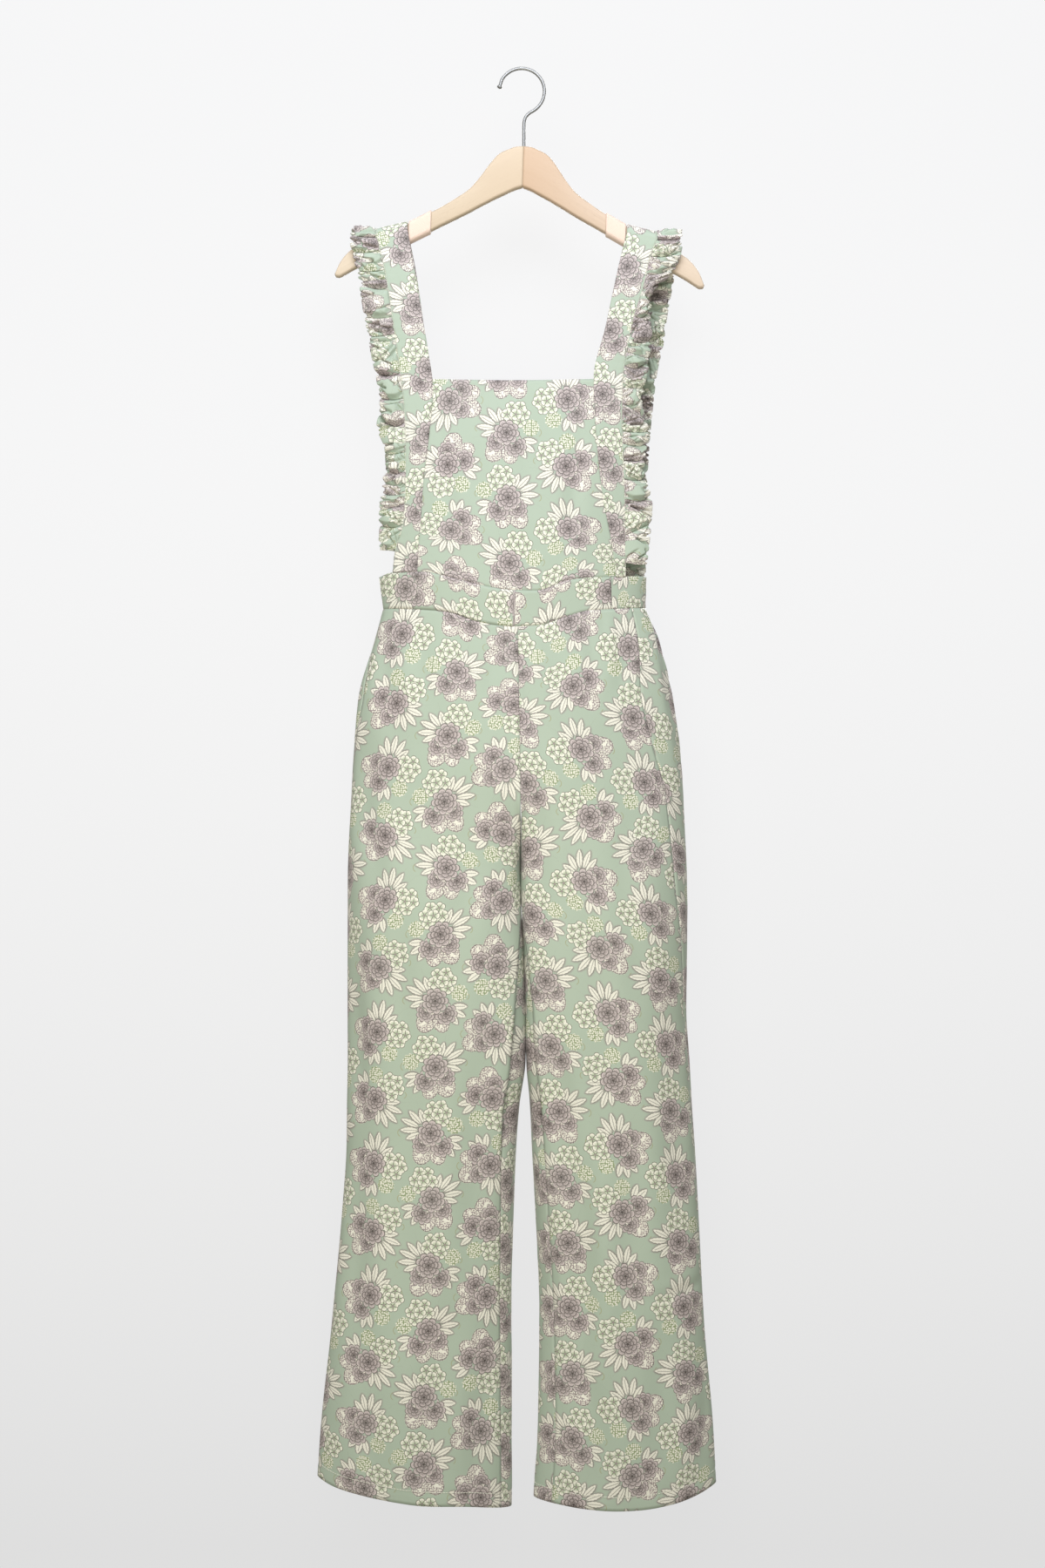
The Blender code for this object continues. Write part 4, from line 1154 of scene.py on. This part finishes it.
def hook(wire_look):
    """Wire hook: a ball end, three quarters of a circle and a stem into the wood."""
    wire = 1.9           # half the wire's thickness
    ring = 26.2          # from the hook's middle to the middle of the wire
    middle = -(ring - wire)
    mouth = math.radians(150)
    path = []
    for reach in np.linspace(11.6, 6.4, 16):
        ball = max(0.0, 1.0 - ((reach - 9.3) / 2.4) ** 2) ** 0.5 * 3.0
        radius = max(ball, wire if reach < 8.6 else 0.15)
        path.append((ring * math.cos(mouth) - reach * math.sin(mouth) * 0.55,
                     middle + ring * math.sin(mouth) + reach * math.cos(mouth), radius))
    path += [(ring * math.cos(a), middle + ring * math.sin(a), wire)
             for a in np.radians(np.linspace(150, -66, 70))]
    neck = len(path)
    bend = ((10.6, -48.3), (7.6, -50.4), (5.2, -52.9), (3.6, -56.2), (2.8, -60.0), (2.6, -65.0))
    fine = np.linspace(0, len(bend) - 1, 24)[2:]
    xs, zs = (np.interp(fine, range(len(bend)), values) for values in zip(*bend))
    path += [(x, z, wire) for x, z in zip(xs, zs)]
    path += [(2.6, z, wire) for z in (-75.0, -88.0, -99.5)]
    path = np.array(path)
    line = path[:, :2].copy()
    # the bend into the stem is smoothed
    for _ in range(6):
        line[neck - 6:-3] = (line[neck - 7:-4] + line[neck - 6:-3] * 2
                             + line[neck - 5:-2]) / 4
    rings = []
    for i, ((x, z), radius) in enumerate(zip(line, path[:, 2])):
        run = line[min(len(line) - 1, i + 1)] - line[max(0, i - 1)]
        run = run / np.linalg.norm(run)
        rings.append([(x + run[1] * math.cos(a) * radius, math.sin(a) * radius,
                       z - run[0] * math.cos(a) * radius)
                      for a in np.linspace(0, TURN, 25)[:-1]])
    loft("hook", rings, wire_look)


# ---- stitches
# rings of a stitch: share of its length, radius and rise, both in the thread's half width
STITCH = np.array([(0.0, 0.3, -0.2), (0.12, 0.9, 0.2), (0.5, 1.0, 0.5), (0.88, 0.9, 0.2),
                   (1.0, 0.3, -0.2)])


def stitches(name, path, normal, pitch, long, thick):
    """A row of thread stitches along a line on the cloth."""
    run = lengths(path[:, None, :], 0)[:, 0]
    share, radius, rise = STITCH.T[:, :, None]
    a = np.linspace(0, TURN, 7)[:-1]
    high = ((rise + radius * np.sin(a)) * thick)[:, :, None]
    wide = (radius * np.cos(a) * thick)[:, :, None]
    numbers = np.arange(high.size).reshape(high.shape[:2])
    sides = quads(np.hstack([numbers, numbers[:, :1]]))
    points = []
    faces = []
    for start in np.arange(1.0, run[-1] - long, pitch):
        at = start + long * share[:, 0]
        centre, up = (np.stack([np.interp(at, run, line[:, k]) for k in range(3)], axis=1)
                      for line in (path, normal))
        up /= np.linalg.norm(up, axis=1, keepdims=True)
        forward = centre[-1] - centre[0]
        aside = np.cross(up, forward / np.linalg.norm(forward))
        first = len(points) * high.size
        points.append(centre[:, None] + up[:, None] * high + aside[:, None] * wide)
        faces += (sides + first).tolist()
        faces += [(numbers[0, ::-1] + first).tolist(), (numbers[-1] + first).tolist()]
    thing = add_mesh(name, np.reshape(points, (-1, 3)), faces, (THREAD,), [True] * len(faces))
    declare(thing)


def hem_line(grid, front):
    """The line of the hem's stitches, and the way the cloth faces there."""
    down = cut_places(grid)[1][:, 0]
    normal = normals_of(grid, front)
    wanted = down[-1] - HEM_STITCHES
    row = np.searchsorted(down, wanted)
    share = (wanted - down[row - 1]) / (down[row] - down[row - 1])
    line = mix(grid[row - 1], grid[row], share) + normal[row] * (TWILL / 2 + 0.05)
    return line[1:-1], normal[row][1:-1]


# ---- the garment
# end of the name, leg, hem, whether front, folds, start of the print, seed, flat size, area
PANELS = (
    ("front_left", LEFT_LEG, LEFT_HEM, True, FRONT_LEFT_FOLDS, (20.0, 7.0), 21,
     (0.24, 1.03), 0.213),
    ("front_right", RIGHT_LEG, RIGHT_HEM, True, FRONT_RIGHT_FOLDS, (76.0, 31.0), 22,
     (0.22, 1.03), 0.185),
    ("back_left", LEFT_LEG, LEFT_HEM, False, BACK_FOLDS, (130.0, 12.0), 23,
     (0.30, 1.03), 0.250),
    ("back_right", RIGHT_LEG, RIGHT_HEM, False, BACK_FOLDS, (205.0, 49.0), 24,
     (0.30, 1.03), 0.259),
)
# side, front and back of the strap, start of its print and its seed
STRAPS = (("left", LEFT_FRONT, LEFT_BACK, (14.0, 9.0), 31),
          ("right", RIGHT_FRONT, RIGHT_BACK, (8.0, 60.0), 32))
# reach, creases, low end at the back, direction, start of the print and seed of a ruffle
RUFFLES = ((LEFT_FRILL, LEFT_CREASES, -548.0, -1, (25.0, 66.0), 41),
           (RIGHT_FRILL, RIGHT_CREASES, -581.0, 1, (90.0, 20.0), 42))


def garment():
    for end, leg, hem, front, folds, start, seed, flat, area in PANELS:
        piece, grid = trouser("trouser_" + end, leg, hem, front, folds, start, seed)
        stitches("hem_stitches_" + end, *hem_line(grid, front), 3.3, 2.8, 0.42)
    bib()
    front_band()
    back_band()
    for side, front, back, start, seed in STRAPS:
        piece, grid = strap("strap_" + side, front, back, start, seed)
        normal = normals_of(grid, True, 0.2)
        line = mix(grid[:, -1], grid[:, -2], 0.45) + normal[:, -1] * (DOUBLE / 2 + 0.05)
        stitches("strap_stitches_" + side, line[1:-1], normal[1:-1, -1], 2.4, 2.0, 0.30)
    for (side, front, back, *_), gathers in zip(STRAPS, RUFFLES):
        piece = ruffle("ruffle_" + side, front, back, *gathers)


# ---- hanger and studio
def hanger():
    pale = beech("beech_pale", (0.575, 0.468, 0.350), (0.460, 0.350, 0.245),
                 (0.575, 0.455, 0.335), 3.0)
    warm = beech("beech_warm", (0.590, 0.458, 0.355), (0.475, 0.350, 0.250),
                 (0.518, 0.355, 0.235), 8.0)
    hanger_half("hanger_left", -1, pale)
    hanger_half("hanger_right", 1, warm)
    knit = knitted("knit_sleeve")
    grip("grip_left", -1, 103.5, 129.0, knit)
    grip("grip_right", 1, 97.0, 120.0, knit)
    hook(bright_wire("hook_wire"))


def plane(name, corners, look):
    """A plane of the studio. It casts no shadow and no light bounces off it."""
    thing = add_mesh(name, np.array(corners), [(0, 1, 2, 3)], (look,), [False])
    thing.visible_shadow = False
    thing.visible_diffuse = False
    thing.visible_glossy = False
    thing.visible_transmission = False


def painted_glow_wall():
    """White wall that glows with painted light, darker towards the floor where the lamps'
    light falls off. It can't be seen from behind.
    """
    made, tree, shader = material("backdrop_wall")
    place = add_node(tree, "TexCoord").outputs["Object"]
    height = Number(tree, add_node(tree, "SeparateXYZ", {0: place}).outputs[2])
    low = (height * -1.0 / 1.72).at_least(0.0)
    high = (height + 0.62).at_least(0.0)
    colour = blend((0.953, 0.953, 0.960), (0.765, 0.765, 0.768), (low * low).at_most(1.0))
    colour = blend(colour, (0.93, 0.93, 0.937), (high / 0.66).at_most(1.0))
    # painted light: the wall's brightness is its own glow, graded by height as the lamps' light
    # falls
    tree.links.new(colour, shader.inputs["Emission Color"])
    fill(shader, {"Emission Strength": 0.9, "Base Color": (0.06, 0.06, 0.06, 1.0),
                  "Roughness": 1.0, "Specular IOR Level": 0.0})
    facing_away = add_node(tree, "NewGeometry").outputs["Backfacing"]
    clear = add_node(tree, "BsdfTransparent").outputs[0]
    either = add_node(tree, "MixShader", {0: facing_away, 1: shader.outputs[0], 2: clear})
    tree.links.new(either.outputs[0], tree.nodes["Material Output"].inputs["Surface"])
    return made


def area_light(name, place, aim, size, power, colour=(1, 1, 1)):
    data = bpy.data.lights.new(name, "AREA")
    data.shape = "RECTANGLE"
    data.size, data.size_y = size
    data.energy = power
    data.color = colour
    light = bpy.data.objects.new(name, data)
    bpy.context.scene.collection.objects.link(light)
    light.location = place
    way = Vector(np.array(aim, float) - np.array(place, float))
    light.rotation_euler = way.to_track_quat("-Z", "Y").to_euler()


def studio():
    """White wall, pale floor and soft light. The lights' places and sizes are metres."""
    wide, wall_y, wall_low, wall_top = 3500, 78, -1960, 1600
    plane("backdrop", [(-wide, wall_y, wall_low), (wide, wall_y, wall_low),
                       (wide, wall_y, wall_top), (-wide, wall_y, wall_top)], painted_glow_wall())
    floor, _, shader = material("studio_floor")
    fill(shader, {"Base Color": (0.78, 0.78, 0.78, 1.0), "Roughness": 0.8})
    plane("floor", [(x, y, -1950) for x, y in ((-6000, -6000), (6000, -6000), (6000, 6000),
                                               (-6000, 6000))], floor)
    world = bpy.data.worlds.new("studio")
    bpy.context.scene.world = world
    world.use_nodes = True
    fill(world.node_tree.nodes["Background"], {"Color": (1.0, 0.97, 0.86, 1.0),
                                               "Strength": 0.36})
    area_light("key", (-0.03, -1.25, 0.88), (0.0, 0.0, 0.40), (1.8, 0.9), 38.3,
               (0.94, 0.975, 1.04))
    area_light("fill", (-0.24, -1.35, -0.97), (0.0, 0.0, -0.9), (1.2, 1.2), 12.0,
               (1.0, 0.965, 0.80))
    area_light("back", (0.3, 2.2, 0.5), (0.0, 0.0, -0.8), (2.4, 1.8), 95.0)


def camera():
    """Straight on, level, at the middle of the garment's height. Sizes are metres."""
    distance = 2.6
    seen_height = 1.8
    data = bpy.data.cameras.new("camera")
    data.sensor_width = 36.0
    data.lens = data.sensor_width * distance / seen_height
    data.clip_start = 0.05
    eye = bpy.data.objects.new("camera", data)
    bpy.context.scene.collection.objects.link(eye)
    eye.location = (0.001, -distance, -0.8195)
    eye.rotation_euler = (math.radians(90), 0, 0)
    bpy.context.scene.camera = eye
    bpy.context.scene.view_settings.view_transform = "Standard"


garment()
hanger()
studio()
camera()
